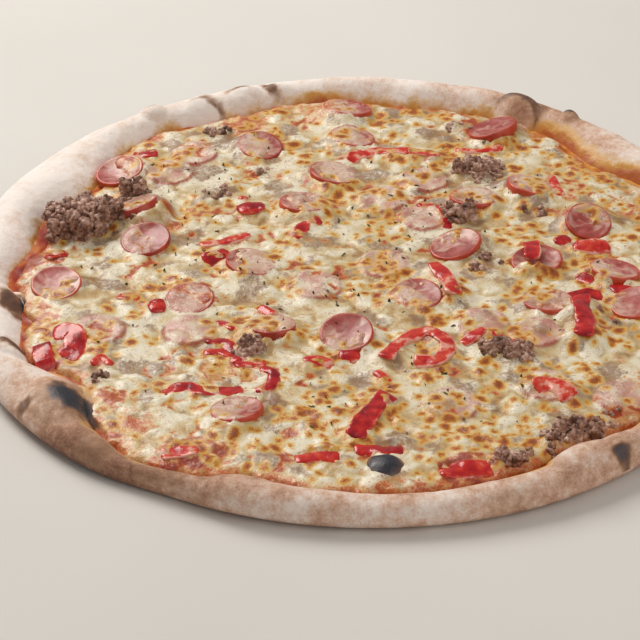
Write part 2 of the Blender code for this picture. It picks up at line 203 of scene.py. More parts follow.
# How much of each slice the cheese covers: (share, compass angle that it comes from, film thickness)
SLICE_COVER = (
    (0.55, 200, 0.5),
    (0.72, 200, 0.5),
    (0.6, 190, 0.5),
    (0, 0, 0.5),
    (0.76, 30, 0.6),
    (0.72, 75, 0.7),
    (0.7, 40, 0.6),
    (0.4, 200, 0.3),
    (0.45, 300, 0.3),
    (0.72, 110, 0.6),
    (0.55, 40, 0.3),
    (0.76, 0, 0.6),
    (0.93, 210, 0.35),
    (0.32, 270, 0.4),
    (0.78, 95, 0.6),
    (0.25, 100, 0.4),
    (0.55, 225, 0.5),
    (0.3, 270, 0.4),
    (0.3, 60, 0.4),
    (0.45, 210, 0.5),
    (0.2, 180, 0.4),
    (0.78, 95, 0.6),
    (0.78, 20, 0.6),
    (0.6, 170, 0.5),
)

# The middle line of each pepper piece, as its solid has it: (width, share covered, points), in mm
PEPPERS = (
    (6.5, 0.35, ((-5, 98), (2, 106), (13, 109), (25, 107), (40, 104))),
    (5.0, 0.3, ((46, 112), (57, 110), (70, 114))),
    (9.0, 0.0, ((-57, 49), (-51, 51), (-44, 53))),
    (5.5, 0.3, ((-28, 26), (-26, 34), (-23, 39), (-17, 41))),
    (6.5, 0.35, ((-73, 20), (-61, 22), (-50, 29))),
    (8.5, 0.0, ((-92, -35), (-84, -34))),
    (10.0, 0.1, ((-132, -56), (-124, -56), (-121, -66), (-125, -73))),
    (7.0, 0.4, ((-82, -99), (-72, -97), (-60, -99), (-47, -96))),
    (5.5, 0.3, ((-41, -80), (-35, -85), (-36, -93), (-42, -98))),
    (9.0, 0.25, ((-1, -130), (6, -115), (14, -99))),
    (8.5, 0.1, ((-25, -144), (-15, -141), (-6, -142))),
    (8.5, 0.05, ((-1, -137), (9, -136), (20, -136))),
    (7.5, 0.12, ((12, -74), (19, -60), (30, -50), (39, -61), (35, -73), (24, -75))),
    (7.5, 0.05, ((33, 1), (39, -11), (43, -25))),
    (9.0, 0.1, ((98, -25), (98, -36), (99, -47), (97, -58))),
    (9.5, 0.15, ((74, -95), (82, -92), (90, -101))),
    (7.5, 0.0, ((78, 19), (79, 11), (78, 3))),
    (8.5, 0.15, ((98, 22), (105, 20), (115, 22))),
    (9.5, 0.1, ((33, -150), (44, -149), (55, -146))),
)

# Loose bits of pepper that lie in the cheese's top and have no solid, listed like those above
PEPPER_BITS = (
    (6.0, 0.4, ((-57, 62), (-52, 64))),
    (5.0, 0.4, ((-26, 63), (-21, 66))),
    (8.0, 0.35, ((-70, 4), (-64, 9), (-59, 15))),
    (8.0, 0.5, ((-107, -24), (-96, -26))),
    (8.0, 0.3, ((-136, -63), (-134, -73), (-130, -82))),
    (4.5, 0.3, ((-112, -80), (-109, -74), (-104, -80))),
    (6.0, 0.4, ((-66, -61), (-58, -60), (-50, -70))),
    (5.0, 0.5, ((-61, -43), (-52, -53))),
    (5.0, 0.5, ((-52, -78), (-38, -76))),
    (6.0, 0.4, ((-23, -73), (-10, -77))),
    (7.0, 0.1, ((-8, -69), (2, -69))),
    (8.5, 0.1, ((90, -22), (99, -20), (109, -19))),
    (5.0, 0.4, ((8, -80), (14, -89))),
    (6.0, 0.4, ((45, -60), (55, -49))),
    (5.0, 0.4, ((58, -51), (72, -60))),
    (5.0, 0.4, ((77, -32), (86, -32))),
    (7.0, 0.2, ((112, -15), (122, -11))),
    (6.0, 0.3, ((90, 24), (97, 30))),
    (6.0, 0.4, ((27, 56), (38, 53), (41, 36))),
    (6.0, 0.3, ((91, 88), (95, 67))),
    (6.0, 0.3, ((98, -2), (106, -8))),
    (9.0, 0.3, ((-110, 104), (-98, 107))),
    (9.0, 0.3, ((-143, 8), (-132, 11))),
    (8.0, 0.3, ((-79, -143), (-63, -140))),
    (6.0, 0.5, ((-44, -32), (-35, -41))),
    (5.5, 0.3, ((-66, -69), (-58, -68), (-50, -76))),
)

# Where loose crumbs of mince show through the cheese: (x, y, reach, how thickly), in millimetres
CRUMB_PATCHES = (
    (-133, 50, 15, 0.5),
    (-112, 36, 14, 0.6),
    (-107, 63, 11, 0.8),
    (-68, 67, 8, 0.7),
    (-45, 89, 8, 0.4),
    (58, 92, 16, 0.8),
    (47, 50, 12, 0.8),
    (82, 55, 9, 0.5),
    (58, 7, 11, 0.7),
    (-45, -67, 10, 0.7),
    (-35, -110, 7, 0.5),
    (2, -85, 8, 0.6),
    (67, -66, 14, 0.6),
    (110, -36, 8, 0.6),
    (88, -126, 15, 0.9),
    (68, -140, 9, 0.6),
    (54, -154, 6, 0.6),
    (-110, -88, 7, 0.6),
    (-70, 127, 10, 0.6),
    (49, 134, 10, 0.5),
    (108, -113, 11, 0.6),
    (15, 148, 20, 0.3),
    (120, 60, 14, 0.3),
)

# Where the cheese is thin and red or orange sauce shows through: (x, y, reach, how much), in millimetres
THIN_PATCHES = (
    (-66, -142, 17, 1.0),
    (-92, -121, 12, 0.7),
    (-103, -104, 12, 0.8),
    (-146, 6, 12, 1.0),
    (-141, -42, 12, 0.8),
    (-120, 96, 18, 0.9),
    (-58, 138, 16, 0.7),
    (-20, 150, 18, 0.5),
    (46, -149, 15, 1.0),
    (112, 104, 18, 0.7),
    (140, 60, 22, 0.6),
    (126, -86, 14, 0.5),
    (58, 128, 10, 0.7),
    (-84, 36, 8, 0.6),
    (-60, -83, 12, 0.5),
    (100, 70, 8, 0.5),
    (30, -105, 10, 0.3),
)


# Helpers


def linear(hex_colour, alpha=1.0):
    """The linear RGBA of an sRGB hex colour."""
    shares = [int(hex_colour[i : i + 2], 16) / 255 for i in (1, 3, 5)]
    return [s / 12.92 if s <= 0.04045 else ((s + 0.055) / 1.055) ** 2.4 for s in shares] + [alpha]


def add_node(tree, kind, inputs=None, stops=(), out=0, **settings):
    """Adds a node and returns its output. inputs gives its sockets a value or the socket that feeds them,
    stops fill a ramp, and out picks the output, or the node itself where it is None."""
    made = tree.nodes.new(kind)
    for name, value in settings.items():
        setattr(made, name, value)
    for socket, value in (inputs or {}).items():
        if isinstance(value, bpy.types.NodeSocket):
            tree.links.new(value, made.inputs[socket])
        else:
            made.inputs[socket].default_value = value
    for number, (position, colour) in enumerate(stops):
        ramp = made.color_ramp.elements
        stop = ramp[number] if number < len(ramp) else ramp.new(position)
        stop.position = position
        stop.color = linear(colour)
    return made if out is None else made.outputs[out]


def smoothstep(low, high, values):
    """An eased share, from 0 at low to 1 at high."""
    share = np.clip((values - low) / (high - low), 0, 1)
    return share * share * (3 - 2 * share)


def ripple(x, y, size, seed):
    """Smooth unevenness from about -1 to 1 at one place, the same as in the solids."""
    return noise.noise(Vector((x / size, y / size, seed)))


def ripples(x, y, size, seed):
    """Smooth unevenness from about -1 to 1 over arrays of places, with bumps of the given size."""
    turns = np.random.default_rng(seed).uniform(0, math.tau, (256, 256))
    u, v = np.asarray(x) / size + 61.3, np.asarray(y) / size + 37.7
    column, row = np.floor(u).astype(int), np.floor(v).astype(int)
    across, along = u - column, v - row
    ease_x, ease_y = smoothstep(0, 1, across), smoothstep(0, 1, along)
    total = 0
    for dx, share_x in ((0, 1 - ease_x), (1, ease_x)):
        for dy, share_y in ((0, 1 - ease_y), (1, ease_y)):
            turn = turns[(column + dx) & 255, (row + dy) & 255]
            total = total + share_x * share_y * (np.cos(turn) * (across - dx) + np.sin(turn) * (along - dy))
    return total * 1.5


def cells(x, y, size, seed):
    """Distance to the nearest of loosely spread points, in spacings, and that point's own random number."""
    shift_x, shift_y, owns = np.random.default_rng(seed).random((3, 256, 256))
    u, v = x / size + 61.3, y / size + 37.7
    column, row = np.floor(u).astype(int), np.floor(v).astype(int)
    nearest, own = np.full(x.shape, 9.0), np.zeros(x.shape)
    for dx in (-1, 0, 1):
        for dy in (-1, 0, 1):
            at = (column + dx) & 255, (row + dy) & 255
            away = np.hypot(column + dx + shift_x[at] - u, row + dy + shift_y[at] - v)
            own = np.where(away < nearest, owns[at], own)
            nearest = np.minimum(away, nearest)
    return nearest, own


def blurred(field, width):
    """A grid softened by a bell of that width, in cells."""
    reach = int(3 * width) + 1
    bell = np.exp(-((np.arange(-reach, reach + 1) / width) ** 2) / 2)
    bell /= bell.sum()
    padded = np.pad(field, reach, mode="edge")
    rows = np.apply_along_axis(lambda line: np.convolve(line, bell, mode="valid"), 0, padded)
    return np.apply_along_axis(lambda line: np.convolve(line, bell, mode="valid"), 1, rows)


def add_piece(name, vertices, faces, material, smooth=True):
    """A new object of one material in the scene."""
    mesh = bpy.data.meshes.new(name)
    mesh.from_pydata([tuple(v) for v in vertices], [], [tuple(int(i) for i in f) for f in faces])
    mesh.materials.append(material)
    if smooth:
        mesh.shade_smooth()
    obj = bpy.data.objects.new(name, mesh)
    bpy.context.scene.collection.objects.link(obj)
    return obj


def set_attribute(obj, name, values):
    """Gives each vertex a number that the material reads by name."""
    layer = obj.data.attributes.new(name, "FLOAT", "POINT")
    layer.data.foreach_set("value", np.asarray(values, dtype=np.float32).ravel())


def displace(obj, rise, shares=1):
    """Moves a piece's points along their normals, by the millimetres that rise gives for each place."""
    count = len(obj.data.vertices)
    places, normals = np.empty(3 * count), np.empty(3 * count)
    obj.data.vertices.foreach_get("co", places)
    obj.data.vertex_normals.foreach_get("vector", normals)
    places = places.reshape(-1, 3)
    rises = np.array([rise(Vector(place)) for place in places / MM]) * shares * MM
    places = places + normals.reshape(-1, 3) * rises[:, None]
    obj.data.vertices.foreach_set("co", places.ravel())
    obj.data.update()


def finish_piece(obj, nodes=()):
    """Puts a piece on the body and hides the solids that it stands in for."""
    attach(obj, "root")
    if nodes:
        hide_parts(*nodes)


def nodes_named(start):
    """The solids whose names begin so, in order."""
    return sorted(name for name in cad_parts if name.startswith(start))


def bake(obj):
    """Turns an object's modifiers into plain mesh and removes them."""
    graph = bpy.context.evaluated_depsgraph_get()
    made = bpy.data.meshes.new_from_object(obj.evaluated_get(graph))
    obj.modifiers.clear()
    obj.data = made


# The dough's form, by the same named sizes as its solid


def angle_between(a, b):
    """The smaller angle between two compass angles in degrees, or arrays of them."""
    return abs((a - b + 180) % 360 - 180)


def bumps(table, angle):
    """The sum of a table's smooth bumps at a compass angle, in metres."""
    total = 0
    for at, more, spread in table:
        total += more * math.exp(-((angle_between(math.degrees(angle), at) / spread) ** 2))
    return MM * total


def outer_radius(angle):
    """How far out the crust reaches, at a compass angle in radians."""
    x, y = math.cos(angle), math.sin(angle)
    radius = PIZZA_RADIUS + PIZZA_OVAL * y**2 + bumps(OUTLINE_DENTS, angle)
    return radius + 1.6 * MM * ripple(x, y, 0.55, 3.1)


def inner_radius(angle):
    """Where the rim comes down to the flat of the dough."""
    return outer_radius(angle) - RIM_WIDTH - bumps(RIM_SWELLS, angle)


def rim_top(angle):
    """How high the rim's crest is."""
    uneven = 1.8 * MM * ripple(math.cos(angle), math.sin(angle), 0.3, 7.7)
    return RIM_HEIGHT + bumps(RIM_RISES, angle) + uneven


# Each degree of the compass, so that arrays of places can look the outlines up
COMPASS = np.radians(np.arange(0, 361))
OUTER = np.array([outer_radius(a) for a in COMPASS])
INNER = np.array([inner_radius(a) for a in COMPASS])
TOP = np.array([rim_top(a) for a in COMPASS])


def at_angle(table, x, y):
    """One of those lists, looked up in the direction of each place."""
    return np.interp(np.arctan2(y, x) % math.tau, COMPASS, table)


def blister_rise(x, y):
    """How far the bubbles lift the crust at each place."""
    rise = np.zeros(np.shape(x))
    for bx, by, width, height in BLISTERS:
        share = np.hypot(x - bx * MM, y - by * MM) / (width * MM / 2)
        rise = np.maximum(rise, height * MM * np.clip(1 - share**2, 0, 1) ** 0.7)
    return rise


# Materials


def start_material(name):
    """A material with its Principled shader, and where on the piece a point is, in metres."""
    made = bpy.data.materials.new(name)
    made.use_nodes = True
    tree = made.node_tree
    place = add_node(tree, "ShaderNodeTexCoord", out="Object")
    return made, tree, tree.nodes["Principled BSDF"], place


def dough_material():
    """Baked wheat dough: matt and floury, toasted in patches, oily by the sauce and charred on bubbles."""
    made, tree, shader, place = start_material("baked_dough")
    toast = add_node(tree, "ShaderNodeAttribute", attribute_name="toast", out="Fac")
    oil = add_node(tree, "ShaderNodeAttribute", attribute_name="oil", out="Fac")
    scorch = add_node(tree, "ShaderNodeAttribute", attribute_name="scorch", out="Fac")
    # Patches of 12 mm, mottling of 3 mm and flour grains drawn at 0.9 mm
    patches = add_node(tree, "ShaderNodeTexNoise", {"Vector": place, "Scale": 80.0, "Detail": 4.0})
    mottle = add_node(tree, "ShaderNodeTexNoise", {"Vector": place, "Scale": 330.0, "Detail": 4.0})
    grains = add_node(tree, "ShaderNodeTexNoise", {"Vector": place, "Scale": 1100.0, "Detail": 2.0})
    fine = add_node(tree, "ShaderNodeMath", {0: mottle, 1: -0.5}, operation="ADD")
    cloud = add_node(tree, "ShaderNodeMath", {0: patches, 1: -0.5}, operation="ADD")
    warm = add_node(tree, "ShaderNodeMath", {0: cloud, 1: 0.9, 2: toast}, operation="MULTIPLY_ADD")
    warm = add_node(tree, "ShaderNodeMath", {0: fine, 1: 0.55, 2: warm}, operation="MULTIPLY_ADD")
    flour = add_node(tree, "ShaderNodeMath", {0: grains, 1: -0.5}, operation="ADD")
    warm = add_node(tree, "ShaderNodeMath", {0: flour, 1: 0.4, 2: warm}, operation="MULTIPLY_ADD")
    # The toast attribute also carries painted shade on the crust's front and front left, which this ramp
    # turns brown
    bread = add_node(
        tree,
        "ShaderNodeValToRGB",
        {0: warm},
        stops=((0.0, "#F4ECE6"), (0.25, "#E9D8CC"), (0.5, "#D2AE98"), (0.75, "#AC8168"), (1.0, "#7E5642")),
    )
    # Oil from the sauce soaks in: straw yellow, then amber, then orange where it is deepest
    soaked = add_node(tree, "ShaderNodeMath", {0: fine, 1: 0.5, 2: oil}, operation="MULTIPLY_ADD")
    soaked = add_node(tree, "ShaderNodeMath", {0: cloud, 1: 0.5, 2: soaked}, operation="MULTIPLY_ADD")
    oily = add_node(
        tree,
        "ShaderNodeValToRGB",
        {0: soaked},
        stops=((0.1, "#E2CCA2"), (0.4, "#DAB064"), (0.7, "#CC9040"), (0.95, "#B4602A")),
    )
    wet = add_node(tree, "ShaderNodeMapRange", {0: soaked, 1: 0.2, 2: 0.6})
    stained = add_node(tree, "ShaderNodeMix", {0: wet, 6: bread, 7: oily}, data_type="RGBA", out=2)
    # Scorches go from tan through brown to black; the blue-grey in the darkest stops is a painted sheen
    burnt = add_node(tree, "ShaderNodeMath", {0: fine, 1: 0.35, 2: scorch}, operation="MULTIPLY_ADD")
    char_with_sheen = add_node(
        tree,
        "ShaderNodeValToRGB",
        {0: burnt},
        stops=((0.1, "#C49E7C"), (0.35, "#946C50"), (0.55, "#694A3C"), (0.75, "#40383E"), (0.95, "#282B33")),
    )
    on = add_node(tree, "ShaderNodeMapRange", {0: burnt, 1: 0.05, 2: 0.42})
    colour = add_node(tree, "ShaderNodeMix", {0: on, 6: stained, 7: char_with_sheen}, data_type="RGBA", out=2)
    tree.links.new(colour, shader.inputs["Base Color"])
    rough = add_node(tree, "ShaderNodeMapRange", {0: wet, 3: 0.85, 4: 0.42})
    rough = add_node(tree, "ShaderNodeMath", {0: on, 1: -0.35, 2: rough}, operation="MULTIPLY_ADD")
    tree.links.new(rough, shader.inputs["Roughness"])
    low = add_node(tree, "ShaderNodeBump", {"Strength": 0.5, "Distance": 0.0008, "Height": mottle})
    high = add_node(
        tree, "ShaderNodeBump", {"Strength": 0.3, "Distance": 0.0003, "Height": grains, "Normal": low}
    )
    tree.links.new(high, shader.inputs["Normal"])
    return made


def sauce_material():
    """Cooked tomato sauce under a film of orange oil: glossy, red where thick and amber where thin."""
    made, tree, shader, place = start_material("tomato_sauce")
    edge = add_node(tree, "ShaderNodeAttribute", attribute_name="edge", out="Fac")
    pulp = add_node(tree, "ShaderNodeTexNoise", {"Vector": place, "Scale": 160.0, "Detail": 5.0})
    share = add_node(tree, "ShaderNodeMath", {0: pulp, 1: -0.5}, operation="ADD")
    share = add_node(tree, "ShaderNodeMath", {0: share, 1: 1.3, 2: edge}, operation="MULTIPLY_ADD")
    colour = add_node(
        tree,
        "ShaderNodeValToRGB",
        {0: share},
        stops=((0.0, "#741A0C"), (0.3, "#962C10"), (0.55, "#AE4E1A"), (0.8, "#C67C2C"), (1.0, "#D6A04C")),
    )
    tree.links.new(colour, shader.inputs["Base Color"])
    shader.inputs["Roughness"].default_value = 0.28
    shader.inputs["Specular IOR Level"].default_value = 0.35
    bump = add_node(tree, "ShaderNodeBump", {"Strength": 0.35, "Distance": 0.0006, "Height": pulp})
    tree.links.new(bump, shader.inputs["Normal"])
    return made


CHEESE_ATTRIBUTES = (
    "over_sausage",
    "over_pepper",
    "over_mince",
    "over_skin",
    "juice_and_shade",
    "spot",
    "thin",
    "warm",
    "milky",
)


def cheese_material():
    """Melted mozzarella: white where thick, clear and yellow between the lumps, with toasted spots and a
    tint of whatever lies just under it."""
    made, tree, shader, place = start_material("melted_mozzarella")
    read = {}
    for name in CHEESE_ATTRIBUTES:
        read[name] = add_node(tree, "ShaderNodeAttribute", attribute_name=name, out="Fac")
    # Clouding of 7 mm and strands of 2 mm
    clouds = add_node(tree, "ShaderNodeTexNoise", {"Vector": place, "Scale": 140.0, "Detail": 3.0})
    strands = add_node(
        tree, "ShaderNodeTexNoise", {"Vector": place, "Scale": 480.0, "Detail": 4.0, "Distortion": 1.2}
    )
    fine = add_node(tree, "ShaderNodeMath", {0: strands, 1: -0.5}, operation="ADD")
    tone = add_node(tree, "ShaderNodeMath", {0: clouds, 1: 0.7, 2: read["milky"]}, operation="MULTIPLY_ADD")
    tone = add_node(tree, "ShaderNodeMath", {0: fine, 1: 0.8, 2: tone}, operation="MULTIPLY_ADD")
    tone = add_node(tree, "ShaderNodeMath", {0: tone, 1: read["warm"]}, operation="SUBTRACT")
    colour = add_node(
        tree,
        "ShaderNodeValToRGB",
        {0: tone},
        stops=((0.1, "#9C7242"), (0.36, "#BE9E6A"), (0.62, "#D2C198"), (0.9, "#E8E0C9")),
    )
    # What shows through: grey-brown mince, pink sausage and its redder skin, red pepper, juice and sauce,
    # the juice with painted shade beside bare toppings
    for name, tint, most, mottled in (
        ("over_mince", "#84604A", 0.8, 2.4),
        ("over_sausage", "#BF7F76", 0.8, 0.9),
        ("over_pepper", "#B63C2A", 0.82, 1.5),
        ("over_skin", "#A63E2A", 0.85, 0.9),
    ):
        share = {0: fine, 1: mottled, 2: read[name]}
        share = add_node(tree, "ShaderNodeMath", share, operation="MULTIPLY_ADD")
        share = add_node(tree, "ShaderNodeMapRange", {0: share, 1: 0.1, 2: 0.8, 3: 0.0, 4: most})
        mixed = {0: share, 6: colour, 7: linear(tint)}
        colour = add_node(tree, "ShaderNodeMix", mixed, data_type="RGBA", out=2)
    # Oil, sauce, juice and painted shade beside bare toppings turn it straw yellow, then orange, then red
    # where it is thinnest
    soaked = add_node(tree, "ShaderNodeMath", {0: read["juice_and_shade"], 1: read["thin"]}, operation="MAXIMUM")
    soaked = add_node(tree, "ShaderNodeMath", {0: fine, 1: 1.1, 2: soaked}, operation="MULTIPLY_ADD")
    sauce = add_node(
        tree,
        "ShaderNodeValToRGB",
        {0: soaked},
        stops=((0.1, "#DCC288"), (0.4, "#D2904A"), (0.65, "#BE5C28"), (0.95, "#962C12")),
    )
    on = add_node(tree, "ShaderNodeMapRange", {0: soaked, 1: 0.1, 2: 0.6, 4: 0.92})
    colour = add_node(tree, "ShaderNodeMix", {0: on, 6: colour, 7: sauce}, data_type="RGBA", out=2)
    # Toasted spots, read as millimetres inside their outline: a wide yellow ring, then amber, then brown
    ragged = add_node(tree, "ShaderNodeMath", {0: fine, 1: 3.0, 2: read["spot"]}, operation="MULTIPLY_ADD")
    share = add_node(tree, "ShaderNodeMapRange", {0: ragged, 1: -2.6, 2: 2.0})
    toast = add_node(
        tree,
        "ShaderNodeValToRGB",
        {0: share},
        stops=((0.0, "#DCCB96"), (0.36, "#DAB056"), (0.54, "#C47E30"), (0.67, "#A65A20"), (0.95, "#824216")),
    )
    on = add_node(tree, "ShaderNodeMapRange", {0: ragged, 1: -2.6, 2: -0.5})
    colour = add_node(tree, "ShaderNodeMix", {0: on, 6: colour, 7: toast}, data_type="RGBA", out=2)
    tree.links.new(colour, shader.inputs["Base Color"])
    shader.inputs["Roughness"].default_value = 0.34
    shader.inputs["Subsurface Weight"].default_value = 0.1
    shader.inputs["Subsurface Radius"].default_value = (1.0, 0.7, 0.4)
    shader.inputs["Subsurface Scale"].default_value = 0.0015
    low = add_node(tree, "ShaderNodeBump", {"Strength": 0.5, "Distance": 0.0012, "Height": clouds})
    high = add_node(
        tree, "ShaderNodeBump", {"Strength": 0.5, "Distance": 0.0006, "Height": strands, "Normal": low}
    )
    tree.links.new(high, shader.inputs["Normal"])
    return made


def sausage_material():
    """Frankfurter: fine pink meat, smooth and moist where it is cut, inside a shiny red-brown skin."""
    made, tree, shader, place = start_material("frankfurter")
    skin = add_node(tree, "ShaderNodeAttribute", attribute_name="skin", out="Fac")
    tint = add_node(tree, "ShaderNodeAttribute", attribute_name="tint", out="Fac")
    veil = add_node(tree, "ShaderNodeAttribute", attribute_name="veil", out="Fac")
    blotches = add_node(tree, "ShaderNodeTexNoise", {"Vector": place, "Scale": 210.0, "Detail": 4.0})
    tone = add_node(tree, "ShaderNodeMath", {0: blotches, 1: 1.2, 2: tint}, operation="MULTIPLY_ADD")
    meat = add_node(
        tree,
        "ShaderNodeValToRGB",
        {0: tone},
        stops=((0.25, "#BC706A"), (0.5, "#A8524C"), (0.75, "#923A34"), (1.0, "#822C22")),
    )
    casing = add_node(
        tree, "ShaderNodeValToRGB", {0: tone}, stops=((0.3, "#CC5438"), (0.65, "#B43C26"), (1.0, "#8E2A1C"))
    )
    fat = {"Vector": place, "Scale": 190.0, "Detail": 4.0, "Distortion": 0.8}
    fat = add_node(tree, "ShaderNodeTexNoise", fat)
    share = add_node(tree, "ShaderNodeMath", {0: fat, 1: 1.2, 2: veil}, operation="MULTIPLY_ADD")
    share = add_node(tree, "ShaderNodeMapRange", {0: share, 1: 0.8, 2: 1.1, 4: 0.75})
    mixed = {0: share, 6: meat, 7: linear("#D9BAA8")}
    meat = add_node(tree, "ShaderNodeMix", mixed, data_type="RGBA", out=2)
    edge = add_node(tree, "ShaderNodeMapRange", {0: skin, 1: 0.08, 2: 0.85})
    colour = add_node(tree, "ShaderNodeMix", {0: edge, 6: meat, 7: casing}, data_type="RGBA", out=2)
    tree.links.new(colour, shader.inputs["Base Color"])
    shader.inputs["Roughness"].default_value = 0.3
    shader.inputs["Subsurface Weight"].default_value = 0.08
    shader.inputs["Subsurface Scale"].default_value = 0.002
    bump = add_node(tree, "ShaderNodeBump", {"Strength": 0.35, "Distance": 0.0005, "Height": blotches})
    tree.links.new(bump, shader.inputs["Normal"])
    return made


def pepper_material():
    """Roasted red pepper: wet, glossy skin with darker folds, paler flesh, and pale pink on its edges and
    crests that is partly cheese film and partly painted highlight.
    """
    made, tree, shader, place = start_material("red_pepper")
    flesh_and_highlight = add_node(tree, "ShaderNodeAttribute", attribute_name="flesh_and_highlight", out="Fac")
    folds = add_node(tree, "ShaderNodeTexNoise", {"Vector": place, "Scale": 190.0, "Detail": 3.0})
    tone = add_node(tree, "ShaderNodeMath", {0: folds, 1: 1.3, 2: flesh_and_highlight}, operation="MULTIPLY_ADD")
    # The palest pink stop, reached on the flesh, the edges and the noise's crests, is partly cheese film and
    # partly painted highlight
    colour = add_node(
        tree,
        "ShaderNodeValToRGB",
        {0: tone},
        stops=((0.35, "#860E18"), (0.58, "#AE181E"), (0.76, "#C62A22"), (0.9, "#D44E38"), (1.0, "#E2A08E")),
    )
    tree.links.new(colour, shader.inputs["Base Color"])
    shader.inputs["Roughness"].default_value = 0.2
    shader.inputs["Subsurface Weight"].default_value = 0.06
    shader.inputs["Subsurface Scale"].default_value = 0.002
    bump = add_node(tree, "ShaderNodeBump", {"Strength": 0.5, "Distance": 0.0009, "Height": folds})
    tree.links.new(bump, shader.inputs["Normal"])
    return made


def mince_material():
    """Fried minced beef: grey-brown crumbs, knobbly, paler and pinker on the crests of the grain that bumps
    them, a painted highlight, and darker in its hollows, partly painted shade.
    """
    made, tree, shader, place = start_material("minced_beef")
    grain = add_node(tree, "ShaderNodeTexNoise", {"Vector": place, "Scale": 520.0, "Detail": 4.0})
    patches = add_node(tree, "ShaderNodeTexNoise", {"Vector": place, "Scale": 150.0, "Detail": 2.0})
    tone = add_node(tree, "ShaderNodeMath", {0: grain, 1: patches}, operation="ADD")
    # Light where the grain is high and dark where it is low, as the bump is: the pale pink top is painted
    # highlight, and the dark end partly painted shade
    colour = add_node(
        tree,
        "ShaderNodeValToRGB",
        {0: add_node(tree, "ShaderNodeMapRange", {0: tone, 1: 0.68, 2: 1.3})},
        stops=((0.0, "#4A2A1E"), (0.35, "#7E5644"), (0.65, "#AE8674"), (1.0, "#DCBCAC")),
    )
    tree.links.new(colour, shader.inputs["Base Color"])
    shader.inputs["Roughness"].default_value = 0.5
    bump = add_node(tree, "ShaderNodeBump", {"Strength": 0.8, "Distance": 0.0009, "Height": grain})
    tree.links.new(bump, shader.inputs["Normal"])
    return made


def oregano_material():
    """Dried oregano: crumbled leaf, matt, dark olive green with browner bits."""
    made, tree, shader, place = start_material("dried_oregano")
    patches = add_node(tree, "ShaderNodeTexNoise", {"Vector": place, "Scale": 300.0, "Detail": 1.0})
    stops = ((0.35, "#363018"), (0.5, "#565028"), (0.7, "#7C7040"))
    colour = add_node(tree, "ShaderNodeValToRGB", {0: patches}, stops=stops)
    tree.links.new(colour, shader.inputs["Base Color"])
    shader.inputs["Roughness"].default_value = 0.7
    return made


def floor_material():
    """A plain pale studio floor, matt, with a barely visible unevenness."""
    made, tree, shader, place = start_material("studio_floor")
    cloud = add_node(tree, "ShaderNodeTexNoise", {"Vector": place, "Scale": 6.0})
    colour = add_node(tree, "ShaderNodeValToRGB", {0: cloud}, stops=((0.3, "#D9D7D3"), (0.7, "#DEDCD8")))
    tree.links.new(colour, shader.inputs["Base Color"])
    shader.inputs["Roughness"].default_value = 0.9
    return made


# The crust


def make_crust(material):
    """The rim's section carried round the outline, then roughened along its normals."""
    floor = np.linspace(-CRUST_FLOOR_INSET, 0, 16)[:-1]
    turns = np.concatenate((np.linspace(0, 180, 46), np.linspace(180, 248, 9)[1:]))
    angles = np.arange(CRUST_STEPS) * math.tau / CRUST_STEPS
    outer = np.interp(angles, COMPASS, OUTER)[:, None]
    inner = np.interp(angles, COMPASS, INNER)[:, None]
    top = np.interp(angles, COMPASS, TOP)[:, None]
    crest, widest = outer - (outer - inner) * CREST_SHARE, top * WIDEST_SHARE
    across, up = -np.cos(np.radians(turns)), np.sin(np.radians(turns))
    radius = crest + np.where(turns <= 90, crest - inner, outer - crest) * across
    rise = (top - WELL_FLOOR) * np.abs(up) ** INNER_EASE
    height = np.where(turns <= 90, WELL_FLOOR + rise, widest + (top - widest) * up)
    height = np.where(turns > 180, widest * (1 + up), height)
    lift = np.where(turns <= 140, 1, np.clip((180 - turns) / 40, 0, 1))
    base = np.full_like(inner, WELL_FLOOR)
    under = [outer * share for share in (0.95, 0.8, 0.5, 0.2)]
    radius = np.hstack([inner + floor] + [radius] + under)
    height = np.hstack([base + 0 * floor] + [height] + [0 * base] * len(under))
    lift = np.concatenate((np.ones(len(floor)), lift, np.zeros(len(under))))
    x, y = radius * np.cos(angles)[:, None], radius * np.sin(angles)[:, None]
    height = height + blister_rise(x, y) * lift
    points = np.stack((x, y, height), axis=-1)
    steps, columns = x.shape
    index = np.arange(steps * columns).reshape(steps, columns)
    ahead = np.roll(index, -1, axis=0)
    faces = np.stack((index[:, :-1], ahead[:, :-1], ahead[:, 1:], index[:, 1:]), axis=-1)
    faces = faces.reshape(-1, 4).tolist()
    middle_top, middle_under = steps * columns, steps * columns + 1
    for a, b in zip(index, ahead):
        faces.append((a[0], middle_top, b[0]))
        faces.append((a[-1], b[-1], middle_under))
    vertices = points.reshape(-1, 3).tolist() + [(0, 0, WELL_FLOOR), (0, 0, 0)]
    crust = add_piece("crust_visual", vertices, faces, material)
    shares = np.append(np.broadcast_to(lift, (steps, columns)).ravel(), (0, 0))
    displace(crust, dough_wrinkles, shares)
    place = np.array(vertices)
    set_attribute(crust, "toast", toast_and_painted_shade(place))
    set_attribute(crust, "oil", oiling(place))
    set_attribute(crust, "scorch", scorching(place))
    return crust


def dough_wrinkles(place):
    """Hollows of 16 mm, wrinkles of 5 mm and a fine grain, in millimetres."""
    return 0.55 * noise.noise(place / 16) + 0.22 * noise.noise(place / 5) + 0.08 * noise.noise(place / 2.2)


